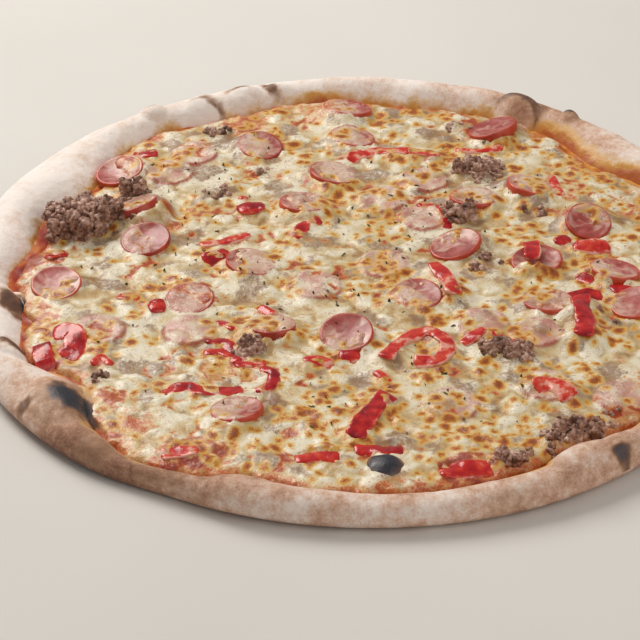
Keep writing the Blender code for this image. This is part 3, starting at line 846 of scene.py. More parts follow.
def toast_and_painted_shade(place):
    """How browned the crust is: pale and floury at the far left, toasted under the rim, and darker at the
    front and front left, partly toasting and partly painted shade.
    """
    x, y, z = place.T
    compass = np.degrees(np.arctan2(y, x)) % 360
    toast = 0.13 + 0.14 * ripples(x, y, 30 * MM, 71)
    # The front and front left are darkened here as painted shade as well as toast
    for at, more, spread in TOASTED_AND_SHADED_SIDES:
        toast = toast + more * np.exp(-((angle_between(compass, at) / spread) ** 2))
    low = smoothstep(7 * MM, 1 * MM, z)
    under = (z < 0.2 * MM) & (np.hypot(x, y) < PIZZA_RADIUS - 3 * MM)
    toast = np.where(under, UNDERSIDE_TOAST, toast + 0.16 * low)
    for bx, by, width, _ in BLISTERS:
        share = np.hypot(x - bx * MM, y - by * MM) / (width * MM * 0.5)
        toast = toast + 0.1 * np.exp(-(share**2)) * (z > 8 * MM)
    for px, py, reach in PALE_BUBBLES:
        share = np.hypot(x - px * MM, y - py * MM) / (reach * MM)
        toast = toast - 0.3 * np.exp(-(share**2)) * (z > 6 * MM)
    return toast


def oiling(place):
    """How far the sauce's oil has soaked into the crust's inner slope."""
    x, y, z = place.T
    past = (np.hypot(x, y) - at_angle(INNER, x, y)) / MM
    reach = 4.0 + 2.5 * ripples(x, y, 22 * MM, 81) + 1.2 * ripples(x, y, 8 * MM, 82)
    compass = np.degrees(np.arctan2(y, x)) % 360
    for at, more, spread in OILED_SIDES:
        reach = reach + more * np.exp(-((angle_between(compass, at) / spread) ** 2))
    for px, py, bare in PALE_BUBBLES:
        reach = reach - 5 * np.exp(-((np.hypot(x - px * MM, y - py * MM) / (bare * MM)) ** 2))
    oil = np.clip((reach + 2 - past) / 8, 0, 1.2) * (z > 2 * MM)
    return oil * np.exp(-blister_rise(x, y) / (4 * MM))


def scorching(place):
    """The burnt marks, from 0 at their edge to 1 in the blackest middle."""
    x, y, z = place.T
    burnt = np.zeros(len(x))
    for sx, sy, length, width, turn, how in SCORCHES:
        turn = math.radians(turn)
        dx, dy = x - sx * MM, y - sy * MM
        along = (dx * math.cos(turn) + dy * math.sin(turn)) / (length * MM / 2)
        across = (dy * math.cos(turn) - dx * math.sin(turn)) / (width * MM / 2)
        uneven = 0.3 * ripples(x, y, 6 * MM, 91) + 0.15 * ripples(x, y, 2.5 * MM, 92)
        if how < 0:
            burnt = burnt * (1 + how * smoothstep(1.15, 0.8, np.hypot(along, across) + 0.5 * uneven))
            continue
        inside = smoothstep(1.5, 0.35, np.hypot(along, across) + uneven)
        burnt = np.maximum(burnt, inside * how * (z > 5 * MM))
    return burnt


# The sauce


def make_sauce(material):
    """A disc with a pulpy surface whose edge creeps a little way up the crust."""
    angles = np.arange(SAUCE_STEPS) * math.tau / SAUCE_STEPS
    inner = np.interp(angles, COMPASS, INNER)[:, None]
    reach = inner + 4 * MM + 1.2 * MM * ripples(np.cos(angles), np.sin(angles), 0.09, 21)[:, None]
    shares = np.concatenate((np.linspace(0.1, 0.75, 6), np.linspace(0.78, 1, SAUCE_RINGS - 6)))
    radius = reach * shares
    x, y = radius * np.cos(angles)[:, None], radius * np.sin(angles)[:, None]
    pulp = 0.5 * ripples(x, y, 7 * MM, 22) + 0.3 * ripples(x, y, 3 * MM, 23)
    near_edge = smoothstep(0.985, 1, shares)
    film = WELL_FLOOR + (0.28 - 0.8 * near_edge) * MM
    height = np.maximum(SAUCE_TOP + (0.2 + pulp * 0.7) * MM * (1 - near_edge), film)
    index = np.arange(x.size).reshape(x.shape)
    ahead = np.roll(index, -1, axis=0)
    faces = np.stack((index[:, :-1], index[:, 1:], ahead[:, 1:], ahead[:, :-1]), axis=-1)
    faces = faces.reshape(-1, 4).tolist()
    faces += [(a[0], b[0], x.size) for a, b in zip(index, ahead)]
    vertices = np.stack((x, y, height), axis=-1).reshape(-1, 3).tolist() + [(0, 0, SAUCE_TOP)]
    sauce = add_piece("sauce_visual", vertices, faces, material)
    past = (radius - inner + 5 * MM) / (9 * MM)
    tone = 0.1 + 0.75 * np.clip(past, 0, 1) + 0.3 * ripples(x, y, 12 * MM, 24)
    tone = tone + 0.35 * np.exp(-((angle_between(np.degrees(np.arctan2(y, x)), 30) / 35) ** 2))
    set_attribute(sauce, "edge", np.append(tone.ravel(), 0))
    return sauce


# Sausage slices

SLICE_STEPS = 44

# A slice's section: (share of the radius, share of the thickness, how much of it is skin)
SLICE_PROFILE = (
    (0.25, 0.74, 0),
    (0.5, 0.78, 0),
    (0.7, 0.85, 0),
    (0.83, 0.93, 0.1),
    (0.9, 0.985, 0.25),
    (0.94, 1.0, 0.5),
    (0.97, 0.975, 1),
    (0.992, 0.9, 1),
    (1.0, 0.75, 1),
    (1.004, 0.5, 1),
    (1.0, 0.25, 1),
    (0.985, 0.08, 1),
    (0.95, 0.0, 0.8),
    (0.6, 0.0, 0),
)


def slice_frame(name):
    """The middle, upward axis, half widths and thickness of a slice's solid."""
    corners = np.array([v.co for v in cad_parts[name].data.vertices])
    corners = np.unique(corners.round(6), axis=0)
    middle = (corners.max(axis=0) + corners.min(axis=0)) / 2
    _, _, axes = np.linalg.svd(corners - corners.mean(axis=0))
    up = axes[2] * np.sign(axes[2][2])
    ahead = axes[0]
    side = np.cross(up, ahead)
    reach = [np.ptp((corners - middle) @ axis) for axis in (ahead, side, up)]
    return middle, ahead, side, up, reach


def slice_faces(start):
    """The faces of the slice whose vertices begin at start: its rings, then its two middles."""
    faces = []
    for ring in range(len(SLICE_PROFILE) - 1):
        first = start + ring * SLICE_STEPS
        for k in range(SLICE_STEPS):
            a, b = first + k, first + (k + 1) % SLICE_STEPS
            faces.append((a, a + SLICE_STEPS, b + SLICE_STEPS, b))
    last = start + (len(SLICE_PROFILE) - 1) * SLICE_STEPS
    for k in range(SLICE_STEPS):
        n = (k + 1) % SLICE_STEPS
        faces.append((start + k, start + n, last + SLICE_STEPS))
        faces.append((last + n, last + k, last + SLICE_STEPS + 1))
    return faces


def make_slices(names, material, draw):
    """Each slice: a cupped cut face, a thin skin round it and a rounded wall, set on its solid."""
    angles = np.arange(SLICE_STEPS) * math.tau / SLICE_STEPS
    vertices, faces, skins, tints, veils = [], [], [], [], []
    for name, (cover, side_angle, _) in zip(names, SLICE_COVER):
        middle, ahead, side, up, (length, width, thickness) = slice_frame(name)
        seed = draw.randrange(1000)
        wobble = 1 + 0.018 * ripples(np.cos(angles), np.sin(angles), 0.5, seed)
        tint = draw.uniform(-0.2, 0.12)
        from_side = np.array((math.cos(math.radians(side_angle)), math.sin(math.radians(side_angle)), 0))
        start = len(vertices)
        for share, rise, skin in SLICE_PROFILE:
            ruffle = 0.05 * ripples(np.cos(angles) * share, np.sin(angles) * share, 0.45, seed + 1)
            for angle, swell, ruff in zip(angles, wobble, ruffle):
                place = middle + ahead * (math.cos(angle) * length / 2 * share * swell)
                place = place + side * (math.sin(angle) * width / 2 * share * swell)
                toward = (place - middle) @ from_side / (length / 2)
                veils.append(0.15 + 0.45 * cover + 0.25 * toward * (cover > 0) - 0.8 * (rise < 0.7))
                vertices.append(place + up * ((rise - 0.5 + ruff * (skin < 0.9)) * thickness))
                skins.append(skin)
                tints.append(tint)
        for rise, skin in ((0.72, 0), (0.0, 0)):
            vertices.append(middle + up * (rise - 0.5) * thickness)
            skins.append(skin)
            tints.append(tint)
            veils.append(0.15 + 0.45 * cover)
        faces.extend(slice_faces(start))
    slices = add_piece("sausage_slices", vertices, faces, material)
    set_attribute(slices, "skin", skins)
    set_attribute(slices, "tint", tints)
    set_attribute(slices, "veil", veils)
    return slices


# Pepper strips


def smooth_path(points, spacing):
    """Points evenly along a smooth curve through the given ones, in metres."""
    knots = [np.array(p, dtype=float) * MM for p in points]
    knots = [2 * knots[0] - knots[1]] + knots + [2 * knots[-1] - knots[-2]]
    path = []
    for a, b, c, d in zip(knots, knots[1:], knots[2:], knots[3:]):
        pieces = max(1, round(np.linalg.norm(c - b) / spacing))
        for k in range(pieces):
            t = k / pieces
            bend, twist = 2 * a - 5 * b + 4 * c - d, 3 * b - a - 3 * c + d
            path.append((2 * b + (c - a) * t + bend * t**2 + twist * t**3) / 2)
    path.append(knots[-2])
    return np.array(path)


def strip_heights(path, name, sheet):
    """How high a strip lies along its path: on its own solid, or on the cheese if it has none."""
    if name is None:
        heights = np.array([sheet_height(sheet, x, y) for x, y in path]) + 0.9 * MM
    else:
        tree = tree_of([name])
        heights = np.array([height_at(tree, x, y) for x, y in path])
        known = ~np.isnan(heights)
        heights = np.interp(np.arange(len(path)), np.flatnonzero(known), heights[known])
    return np.convolve(np.pad(heights, 3, mode="edge"), np.ones(7) / 7, mode="valid")


def make_peppers(names, sheet, material, draw):
    """Each strip: a flattish section, curled and folded, along its line."""
    around = np.radians(np.arange(0, 360, 18))
    section_x = np.sign(np.cos(around)) * np.abs(np.cos(around)) ** 0.55 * 0.5
    section_z = np.sign(np.sin(around)) * np.abs(np.sin(around)) ** 0.6 * 0.5
    names = list(names) + [None] * len(PEPPER_BITS)
    vertices, faces, flesh_and_highlight = [], [], []
    for name, (width, _, points) in zip(names, PEPPERS + PEPPER_BITS):
        path = smooth_path(points, 1.1 * MM)
        heights = strip_heights(path, name, sheet)
        travelled = np.append(0, np.cumsum(np.linalg.norm(np.diff(path, axis=0), axis=1)))
        from_end = np.minimum(travelled, travelled[-1] - travelled)
        full = np.sqrt(np.clip(1 - (1 - np.clip(from_end / (1.8 * MM), 0, 1)) ** 2, 0.03, 1))
        seed = draw.randrange(1000)
        start = len(vertices)
        heading = np.gradient(path, axis=0)
        heading /= np.linalg.norm(heading, axis=1)[:, None]
        swell = 1 + 0.24 * ripples(travelled, 0 * travelled, 7 * MM, seed)
        roll = 0.5 * ripples(travelled, 0 * travelled, 11 * MM, seed + 1)
        thick = 1.9 * (1 + 0.3 * ripples(travelled, 0 * travelled, 5 * MM, seed + 2)) * MM
        curl = draw.choice((-1.4, -1.0, -0.6, 0.4))
        tint = draw.uniform(-0.15, 0.25)
        for row in zip(path, heights, heading, full, swell, roll, thick):
            place, height, ahead, share, wide, turn, deep = row
            side = np.array((-ahead[1], ahead[0]))
            across = section_x * width * MM * share * wide
            curled = curl * (2 * across / (width * MM)) ** 2 * MM * 0.5
            up = section_z * deep * share + curled + across * turn
            for shift, rise, turned in zip(across, up, section_z):
                vertices.append((*(place + side * shift), height - 0.8 * MM - 0.25 * curl * MM + rise))
                # Paler on the underside, which is flesh, and along both edges, where the paleness is painted
                # highlight
                flesh_and_highlight.append(tint + 0.35 * (turned < -0.1) + 0.25 * (abs(shift) > 0.4 * width * MM))
        count, stations = len(around), len(path)
        for s in range(stations - 1):
            for k in range(count):
                a, b = start + s * count + k, start + s * count + (k + 1) % count
                faces.append((a, a + count, b + count, b))
        faces.append([start + k for k in range(count)])
        faces.append([start + (stations - 1) * count + k for k in reversed(range(count))])
    peppers = add_piece("pepper_strips", vertices, faces, material)
    set_attribute(peppers, "flesh_and_highlight", flesh_and_highlight)
    displace(peppers, lambda place: 0.4 * noise.noise(place / 6) + 0.25 * noise.noise(place / 2.6))
    return peppers


# Heights of the toppings under each place of the cheese


def tree_of(names):
    """A search tree over the solids of these names."""
    corners, faces = [], []
    for name in names:
        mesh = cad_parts[name].data
        start = len(corners)
        corners.extend(v.co.copy() for v in mesh.vertices)
        faces.extend([start + i for i in p.vertices] for p in mesh.polygons)
    return BVHTree.FromPolygons(corners, faces)


def tree_of_piece(obj):
    """A search tree over one piece made here."""
    mesh = obj.data
    return BVHTree.FromPolygons([v.co for v in mesh.vertices], [p.vertices[:] for p in mesh.polygons])


def height_at(tree, x, y):
    """The tree's top height at one place, or nan where it has none."""
    place, *_ = tree.ray_cast(Vector((x, y, 0.1)), Vector((0, 0, -1)))
    return place.z if place else math.nan


# The cheese

SPOT_TRIES = 3500
SPOT_REACH = 158 * MM
GRID_STEP = 0.95 * MM
GRID_REACH = 166 * MM
GRID_LINE = np.arange(-GRID_REACH, GRID_REACH + GRID_STEP / 2, GRID_STEP)


def melted_sheet():
    """The melted cheese before anything lies in it: raised over buried slices, with rounded lumps where
    the shreds ran together, and thin and ragged at its edge."""
    x, y = np.meshgrid(GRID_LINE, GRID_LINE)
    relief = 1.0 * ripples(x, y, 26 * MM, 30) + 0.8 * ripples(x, y, 11 * MM, 36)
    for sx, sy in BURIED_SLICES:
        share = np.hypot(x - sx * MM, y - sy * MM) / SLICE_RADIUS
        relief += 1.5 * smoothstep(1.12, 0.9, share)
    # The shreds: two sizes of lump, their places bent so that no two look alike
    bent_x = x + (3.4 * ripples(x, y, 9 * MM, 37) + 1.0 * ripples(x, y, 3.5 * MM, 38)) * MM
    bent_y = y + (3.4 * ripples(x, y, 9 * MM, 39) + 1.0 * ripples(x, y, 3.5 * MM, 40)) * MM
    near, own = cells(bent_x, bent_y * 1.25, 8.4 * MM, 35)
    small, own_small = cells(bent_x * 1.2, bent_y, 4.2 * MM, 43)
    lump, bead = smoothstep(0.85, 0.1, near), smoothstep(0.85, 0.1, small)
    # In some wide patches the shreds have melted into one smooth sheet
    smooth = smoothstep(0.0, 0.35, ripples(x, y, 19 * MM, 57) + 0.25 * ripples(x, y, 6 * MM, 58))
    relief += (1.6 * lump * (0.2 + 0.8 * own) + 0.5 * bead * own_small) * (1 - 0.7 * smooth) + 0.5 * smooth
    milky = (lump * (0.2 + 0.8 * own) + 0.3 * bead * own_small) * (1 - 0.8 * smooth)
    milky += smooth * (0.46 + 0.3 * ripples(x, y, 8 * MM, 59))
    compass = np.degrees(np.arctan2(y, x)) % 360
    sauce_shows = 6.0 * np.exp(-((angle_between(compass, 165) / 16) ** 2))
    outline = at_angle(INNER, x, y) - (1.0 + sauce_shows + 3.2 * ripples(x, y, 10 * MM, 31)) * MM
    outline += 1.2 * MM * ripples(x, y, 3 * MM, 32)
    inside = (outline - np.hypot(x, y)) / CHEESE_TAPER
    full = np.sqrt(1 - (1 - np.clip(inside, 0, 1)) ** 2)
    swell = CHEESE_THICKNESS - CHEESE_EDGE - 0.5 * MM + relief * MM
    thickness = np.maximum(CHEESE_EDGE + swell * full, CHEESE_EDGE)
    height = CHEESE_BOTTOM + thickness - 6 * MM * smoothstep(0.0, -0.12, inside)
    return {"x": x, "y": y, "height": height, "inside": inside, "milky": milky}


def sheet_height(sheet, x, y):
    """The melted sheet's height at one place."""
    column, row = np.searchsorted(GRID_LINE, (x, y))
    return sheet["height"][row, column]


def window(low, high, margin=1 * MM):
    """The part of the grid over a box."""
    first = np.searchsorted(GRID_LINE, (low[0] - margin, low[1] - margin))
    last = np.searchsorted(GRID_LINE, (high[0] + margin, high[1] + margin))
    return slice(first[1], last[1]), slice(first[0], last[0])


def heights_over(tree, x, y):
    """The tree's top height over part of the grid, and -1 where it has none."""
    tops = np.full(x.shape, -1.0)
    for place in np.ndindex(x.shape):
        height = height_at(tree, x[place], y[place])
        if not math.isnan(height):
            tops[place] = height
    return tops


def spread(field, slope, reach):
    """Lets each raised patch of a grid fall away on all sides at a slope."""
    for _ in range(round(reach / GRID_STEP)):
        for axis in (0, 1):
            for way in (-1, 1):
                field = np.maximum(field, np.roll(field, way, axis) - slope * GRID_STEP)
    return field


def lay_on(sheet, part, tops, cover, film, wall, most=3.5, clear=0.45):
    """Notes, on the sheet, where a topping is covered by a film of cheese, and how far down its wall shows.
    most is how high the cheese climbs a wall, and clear how far it stays under a bare top."""
    there = tops > 0
    covered = there & (cover > 0.5)
    meets = np.minimum(tops - wall * MM, sheet["height"][part] + most * MM)
    level = np.where(covered, tops + film * MM, np.where(there, meets, -1))
    sheet["raise"][part] = np.maximum(sheet["raise"][part], level)
    bare = np.where(there & ~covered, tops - clear * MM, 1)
    sheet["hold"][part] = np.minimum(sheet["hold"][part], bare)
    return np.where(covered, tops, -1)


def lay_slices(sheet):
    """Each slice is covered from one side, to an uneven line across it; its far wall stays bare."""
    covered = []
    for number, (name, row) in enumerate(zip(nodes_named("sausage"), SLICE_COVER)):
        share, side, film = row
        part = window(*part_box(name))
        x, y = sheet["x"][part], sheet["y"][part]
        middle, ahead, across, _, (length, width, _) = slice_frame(name)
        turn = math.radians(side)
        toward = ((x - middle[0]) * math.cos(turn) + (y - middle[1]) * math.sin(turn)) / (length / 2)
        uneven = 0.6 * ripples(x, y, 6 * MM, 300 + number) + 0.25 * ripples(x, y, 2.6 * MM, 400 + number)
        cover = smoothstep(-0.12, 0.12, toward + uneven - (1 - 2 * share)) * (share > 0)
        wall = 0.9 - 0.7 * np.clip(toward, -1, 1) * (share > 0)
        tops = heights_over(tree_of([name]), x, y)
        under = lay_on(sheet, part, tops, cover, film, wall, clear=1.2)
        out = np.hypot(
            ((x - middle[0]) * ahead[0] + (y - middle[1]) * ahead[1]) / (length / 2),
            ((x - middle[0]) * across[0] + (y - middle[1]) * across[1]) / (width / 2),
        )
        covered.append(("over_sausage", part, under))
        broken = smoothstep(-0.3, 0.6, ripples(x, y, 5 * MM, 700 + number) + 0.3)
        ring = np.exp(-(((out - 0.94) / 0.07) ** 2)) * broken
        sheet["over_skin"][part] = np.maximum(sheet["over_skin"][part], ring * (under > 0))
    return covered


def lay_peppers(sheet, peppers):
    """Each strip is covered in patches, as much of it as its row says."""
    covered = []
    tree = tree_of_piece(peppers)
    for number, (width, share, points) in enumerate(PEPPERS + PEPPER_BITS):
        line = np.array(points) * MM
        part = window(line.min(axis=0), line.max(axis=0), 0.75 * width * MM)
        x, y = sheet["x"][part], sheet["y"][part]
        uneven = 0.9 * ripples(x, y, 6 * MM, 500 + number) + 0.5 * ripples(x, y, 2.6 * MM, 550 + number)
        cover = smoothstep(-0.1, 0.1, uneven - 0.6 + 1.5 * share)
        under = lay_on(sheet, part, heights_over(tree, x, y), cover, 0.35, 0.8)
        covered.append(("over_pepper", part, under))
    return covered


def lay_mince(sheet):
    """The heaps are covered in patches, only where they are low, and the large one hardly at all."""
    covered = []
    for number, name in enumerate(nodes_named("mince")):
        part = window(*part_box(name))
        x, y = sheet["x"][part], sheet["y"][part]
        share = 0.1 if name == "mince_01" else 0.42
        cover = smoothstep(-0.1, 0.1, ripples(x, y, 6 * MM, 600 + number) - 0.75 + 1.5 * share)
        tops = heights_over(tree_of([name]), x, y)
        cover = cover * (tops < sheet["height"][part] + 3 * MM)
        under = lay_on(sheet, part, tops, cover, 0.1, 1.2, most=2.2)
        covered.append(("over_mince", part, under))
    return covered


def buried_rings(x, y):
    """Faint red edges of the slices that lie under the cheese, clearest at their near side."""
    rings, film = np.zeros(x.shape), np.zeros(x.shape)
    for sx, sy in BURIED_SLICES:
        dx, dy = x - sx * MM, y - sy * MM
        out = np.hypot(dx, dy) / (SLICE_RADIUS * 0.97)
        near_side = 0.45 - 0.55 * dy / np.maximum(np.hypot(dx, dy), MM)
        broken = smoothstep(0.0, 0.5, near_side + 0.9 * ripples(x, y, 6 * MM, 45) - 0.25)
        rings = np.maximum(rings, np.exp(-(((out - 1) / 0.075) ** 2)) * broken)
        film = np.maximum(film, smoothstep(1.05, 0.9, out) * (0.55 + 0.6 * ripples(x, y, 7 * MM, 46)))
    return rings, np.clip(film, 0, 1)


def cheese_surface(sheet, spots):
    """The sheet draped over each topping that it covers, and kept below each bare one."""
    x, y, inside, height = sheet["x"], sheet["y"], sheet["inside"], sheet["height"]
    raised = spread(sheet["raise"], 0.5, 7 * MM)
    surface = height + blurred(np.maximum(raised - height, 0), 1.2) * smoothstep(-0.1, 0.16, inside)
    surface = surface + 0.12 * MM * ripples(x, y, 2.2 * MM, 34)
    surface = surface + 0.25 * MM * smoothstep(-0.5, 1.2, spots)
    surface = blurred(np.where(inside > 0, np.minimum(surface, sheet["hold"]), surface), 0.65)
    return np.where(inside > 0, np.minimum(surface, sheet["hold"] + 0.3 * MM), surface)


def cheese_shows(sheet, surface, covered):
    """How much of each topping shows through the cheese."""
    x, y = sheet["x"], sheet["y"]
    read = {kind: np.zeros(x.shape) for kind in ("over_sausage", "over_pepper", "over_mince")}
    for kind, part, under in covered:
        depth = np.clip(surface[part] - under, 0, None)
        seen = np.exp(-depth / (0.9 * MM)) * (under > 0)
        read[kind][part] = np.maximum(read[kind][part], seen)
    for kind in read:
        read[kind] = blurred(read[kind], 0.8)
    rings, film = buried_rings(x, y)
    read["over_sausage"] = np.maximum(read["over_sausage"], film)
    read["over_skin"] = np.maximum(sheet["over_skin"], rings)
    # Mince also lies hidden in patches
    hidden = smoothstep(0.05, 0.42, ripples(x, y, 13 * MM, 48) + 0.35 * ripples(x, y, 4 * MM, 49))
    near_mince = np.zeros(x.shape)
    for px, py, reach, how in CRUMB_PATCHES:
        distance = np.hypot(x - px * MM, y - py * MM) / (reach * MM)
        near_mince = np.maximum(near_mince, how * np.exp(-(distance**2) * 1.3))
    read["over_mince"] = np.clip(np.maximum(read["over_mince"], 0.72 * hidden + near_mince), 0, 1)
    return read


def cheese_stains(sheet, over_pepper):
    """Where juice, oil and sauce colour the cheese, with painted shade around each bare topping, how thin it
    is, and how warm its colour.
    """
    x, y = sheet["x"], sheet["y"]
    # Red juice spreads from the peppers, and a painted shade of the same red rings every bare topping
    juice_and_shade = blurred(np.where(sheet["hold"] < 1, 1.0, 0.0), 2.2) + blurred(over_pepper, 2.5)
    juice_and_shade = juice_and_shade * (0.5 + 1.2 * ripples(x, y, 5 * MM, 47))
    # Oil and sauce stand in some of the hollows between the lumps
    pools = smoothstep(0.0, 0.5, ripples(x, y, 17 * MM, 53) + 0.5 * ripples(x, y, 5 * MM, 54))
    juice_and_shade = np.maximum(juice_and_shade, 0.9 * pools * smoothstep(0.55, 0.1, sheet["milky"]))
    ragged = sheet["inside"] + 0.35 * ripples(x, y, 14 * MM, 41) + 0.2 * ripples(x, y, 5 * MM, 42)
    thin = 0.62 * smoothstep(0.6, -0.05, ragged)
    uneven = 0.5 * ripples(x, y, 6 * MM, 51) + 0.35 * ripples(x, y, 2.8 * MM, 52)
    for px, py, reach, how in THIN_PATCHES:
        distance = np.hypot(x - px * MM, y - py * MM) / (reach * MM)
        thin = np.maximum(thin, how * smoothstep(1.1, 0.3, distance + uneven))
    warm = 0.06 + 0.06 * smoothstep(-60 * MM, 120 * MM, x) + 0.24 * ripples(x, y, 24 * MM, 44)
    return {"juice_and_shade": juice_and_shade, "thin": thin, "warm": warm}


def make_cheese(sheet, material, peppers):
    """A fine grid that drapes over each topping where the cheese covers it and meets its wall elsewhere."""
    x, y, inside = sheet["x"], sheet["y"], sheet["inside"]
    sheet["raise"], sheet["hold"] = np.full(x.shape, -1.0), np.full(x.shape, 1.0)
    sheet["over_skin"] = np.zeros(x.shape)
    covered = lay_slices(sheet) + lay_peppers(sheet, peppers) + lay_mince(sheet)
    spots = toasted_spots(x, y)
    surface = cheese_surface(sheet, spots)
    read = cheese_shows(sheet, surface, covered)
    read.update(cheese_stains(sheet, read["over_pepper"]))
    read["spot"] = spots
    read["milky"] = sheet["milky"] + 0.45 * read["over_sausage"]

    keep = inside > -0.16
    index = np.full(x.shape, -1)
    index[keep] = np.arange(keep.sum())
    whole = keep[:-1, :-1] & keep[1:, :-1] & keep[:-1, 1:] & keep[1:, 1:]
    faces = np.stack((index[:-1, :-1], index[:-1, 1:], index[1:, 1:], index[1:, :-1]), axis=-1)[whole]
    vertices = np.stack((x[keep], y[keep], surface[keep]), axis=-1)
    cheese = add_piece("mozzarella_visual", vertices, faces, material)
    for name in CHEESE_ATTRIBUTES:
        set_attribute(cheese, name, read[name][keep])
    return cheese


def toasted_spots(x, y):
    """Millimetres inside the nearest toasted spot, negative outside. Spots come in loose clusters."""
    draw = random.Random(7)
    depth = np.full(x.shape, -4.0)
    for _ in range(SPOT_TRIES):
        angle, reach = draw.uniform(0, math.tau), SPOT_REACH * math.sqrt(draw.random())
        sx, sy = reach * math.cos(angle), reach * math.sin(angle)
        clustered = 1.15 * ripple(sx, sy, 17 * MM, 44.4)
        likely = 0.34 + 0.16 * sx / (150 * MM) - 0.08 * sy / (150 * MM) + clustered
        if draw.random() > likely:
            continue
        size, oval, turn = 0.4 + 1.9 * draw.random() ** 2.6, draw.uniform(1, 1.4), draw.uniform(0, math.pi)
        part = window((sx, sy), (sx, sy), 7 * MM)
        dx, dy = (x[part] - sx) / MM, (y[part] - sy) / MM
        along = (dx * math.cos(turn) + dy * math.sin(turn)) / oval
        across = (dy * math.cos(turn) - dx * math.sin(turn)) * oval**0.5
        depth[part] = np.maximum(depth[part], size - np.hypot(along, across))
    return depth


# Crumbs of mince and flecks of oregano, scattered by Geometry Nodes


def scatter_tree(name, grain, material):
    """A node tree that scatters a grain over a surface, by a named density, and joins the result."""
    tree = bpy.data.node_groups.new(name, "GeometryNodeTree")
    face = tree.interface
    face.new_socket("Geometry", in_out="INPUT", socket_type="NodeSocketGeometry")
    for label in ("Density", "Smallest", "Largest", "Lift"):
        face.new_socket(label, in_out="INPUT", socket_type="NodeSocketFloat")
    face.new_socket("Seed", in_out="INPUT", socket_type="NodeSocketInt")
    face.new_socket("Geometry", in_out="OUTPUT", socket_type="NodeSocketGeometry")
    given = add_node(tree, "NodeGroupInput", out=None).outputs
    share = add_node(tree, "GeometryNodeInputNamedAttribute", {"Name": "scatter"}, data_type="FLOAT")
    density = add_node(tree, "ShaderNodeMath", {0: share, 1: given["Density"]}, operation="MULTIPLY")
    points = add_node(
        tree,
        "GeometryNodeDistributePointsOnFaces",
        {"Mesh": given["Geometry"], "Density": density, "Seed": given["Seed"]},
        distribute_method="RANDOM",
    )
    size = add_node(
        tree,
        "FunctionNodeRandomValue",
        {2: given["Smallest"], 3: given["Largest"], "Seed": given["Seed"]},
        data_type="FLOAT",
        out=1,
    )
    turns = {0: (0, 0, 0), 1: (6.28, 6.28, 6.28), "Seed": 3}
    turn = add_node(tree, "FunctionNodeRandomValue", turns, data_type="FLOAT_VECTOR")
    shape = add_node(tree, "GeometryNodeObjectInfo", {"Object": grain}, out="Geometry")
    placed = add_node(
        tree,
        "GeometryNodeInstanceOnPoints",
        {"Points": points, "Instance": shape, "Rotation": turn, "Scale": size},
    )
    plain = add_node(tree, "GeometryNodeRealizeInstances", {"Geometry": placed})
    raised = add_node(tree, "ShaderNodeCombineXYZ", {2: given["Lift"]})
    moved = add_node(tree, "GeometryNodeSetPosition", {"Geometry": plain, "Offset": raised})
    coloured = add_node(tree, "GeometryNodeSetMaterial", {"Geometry": moved, "Material": material})
    add_node(tree, "NodeGroupOutput", {0: coloured}, out=None)
    return tree


def scatter(name, surface, shares, tree, sizes):
    """Scatters over a copy of a surface, whose vertices carry how thickly it is strewn."""
    mesh = surface.data.copy()
    obj = bpy.data.objects.new(name, mesh)
    bpy.context.scene.collection.objects.link(obj)
    set_attribute(obj, "scatter", shares)
    modifier = obj.modifiers.new("scatter", "NODES")
    modifier.node_group = tree
    for item in tree.interface.items_tree:
        if item.in_out == "INPUT" and item.name in sizes:
            modifier[item.identifier] = sizes[item.name]
    bake(obj)
    obj.data.shade_smooth()
    return obj


def make_crumb_shape():
    """One knobbly crumb, 1 m across before it is scaled."""
    bm = bmesh.new()
    bmesh.ops.create_icosphere(bm, subdivisions=2, radius=0.5)
    for vertex in bm.verts:
        vertex.co *= 1 + 0.6 * noise.noise(vertex.co * 3.1) + 0.25 * noise.noise(vertex.co * 7.3)
        vertex.co.x *= 1.25
    mesh = bpy.data.meshes.new("crumb")
    bm.to_mesh(mesh)
    bm.free()
    return bpy.data.objects.new("crumb", mesh)


def make_fleck_shape():
    """One bent crumb of leaf, 1 m long before it is scaled: a thin closed solid."""
    across = (-0.5, -0.15, 0.2, 0.5)
    vertices, faces = [], []
    for layer in (0, 0.07):
        for k, along in enumerate(across):
            wide = (0.08, 0.22, 0.2, 0.06)[k]
            bend = 0.16 * along**2 + 0.05 * math.sin(9 * along)
            vertices += [(along, -wide, bend + layer), (along, wide, bend + layer + 0.05)]
    for k in range(3):
        a = 2 * k
        faces += [(a, a + 1, a + 3, a + 2), (a + 8, a + 10, a + 11, a + 9)]
        faces += [(a, a + 2, a + 10, a + 8), (a + 1, a + 9, a + 11, a + 3)]
    faces += [(0, 8, 9, 1), (6, 7, 15, 14)]
    mesh = bpy.data.meshes.new("fleck")
    mesh.from_pydata(vertices, [], faces)
    return bpy.data.objects.new("fleck", mesh)


# Where the oregano fell thickest: (x, y, reach, how thickly), in millimetres
OREGANO_PATCHES = (
    (-72, 75, 26, 1),
    (-12, -112, 20, 1),
    (-10, -40, 26, 1),
    (-60, 15, 22, 1),
    (15, 20, 25, 1),
    (-90, -5, 18, 1),
    (40, -75, 20, 1),
    (30, 65, 25, 1),
)


def patch_shares(cheese, patches):
    """How thickly a table of patches strews each point of the cheese, and where that point is."""
    place = np.array([v.co for v in cheese.data.vertices])
    total = np.zeros(len(place))
    for px, py, reach, how in patches:
        distance = np.hypot(place[:, 0] - px * MM, place[:, 1] - py * MM) / (reach * MM)
        total = np.maximum(total, how * np.exp(-(distance**2) * 1.5))
    return total, place


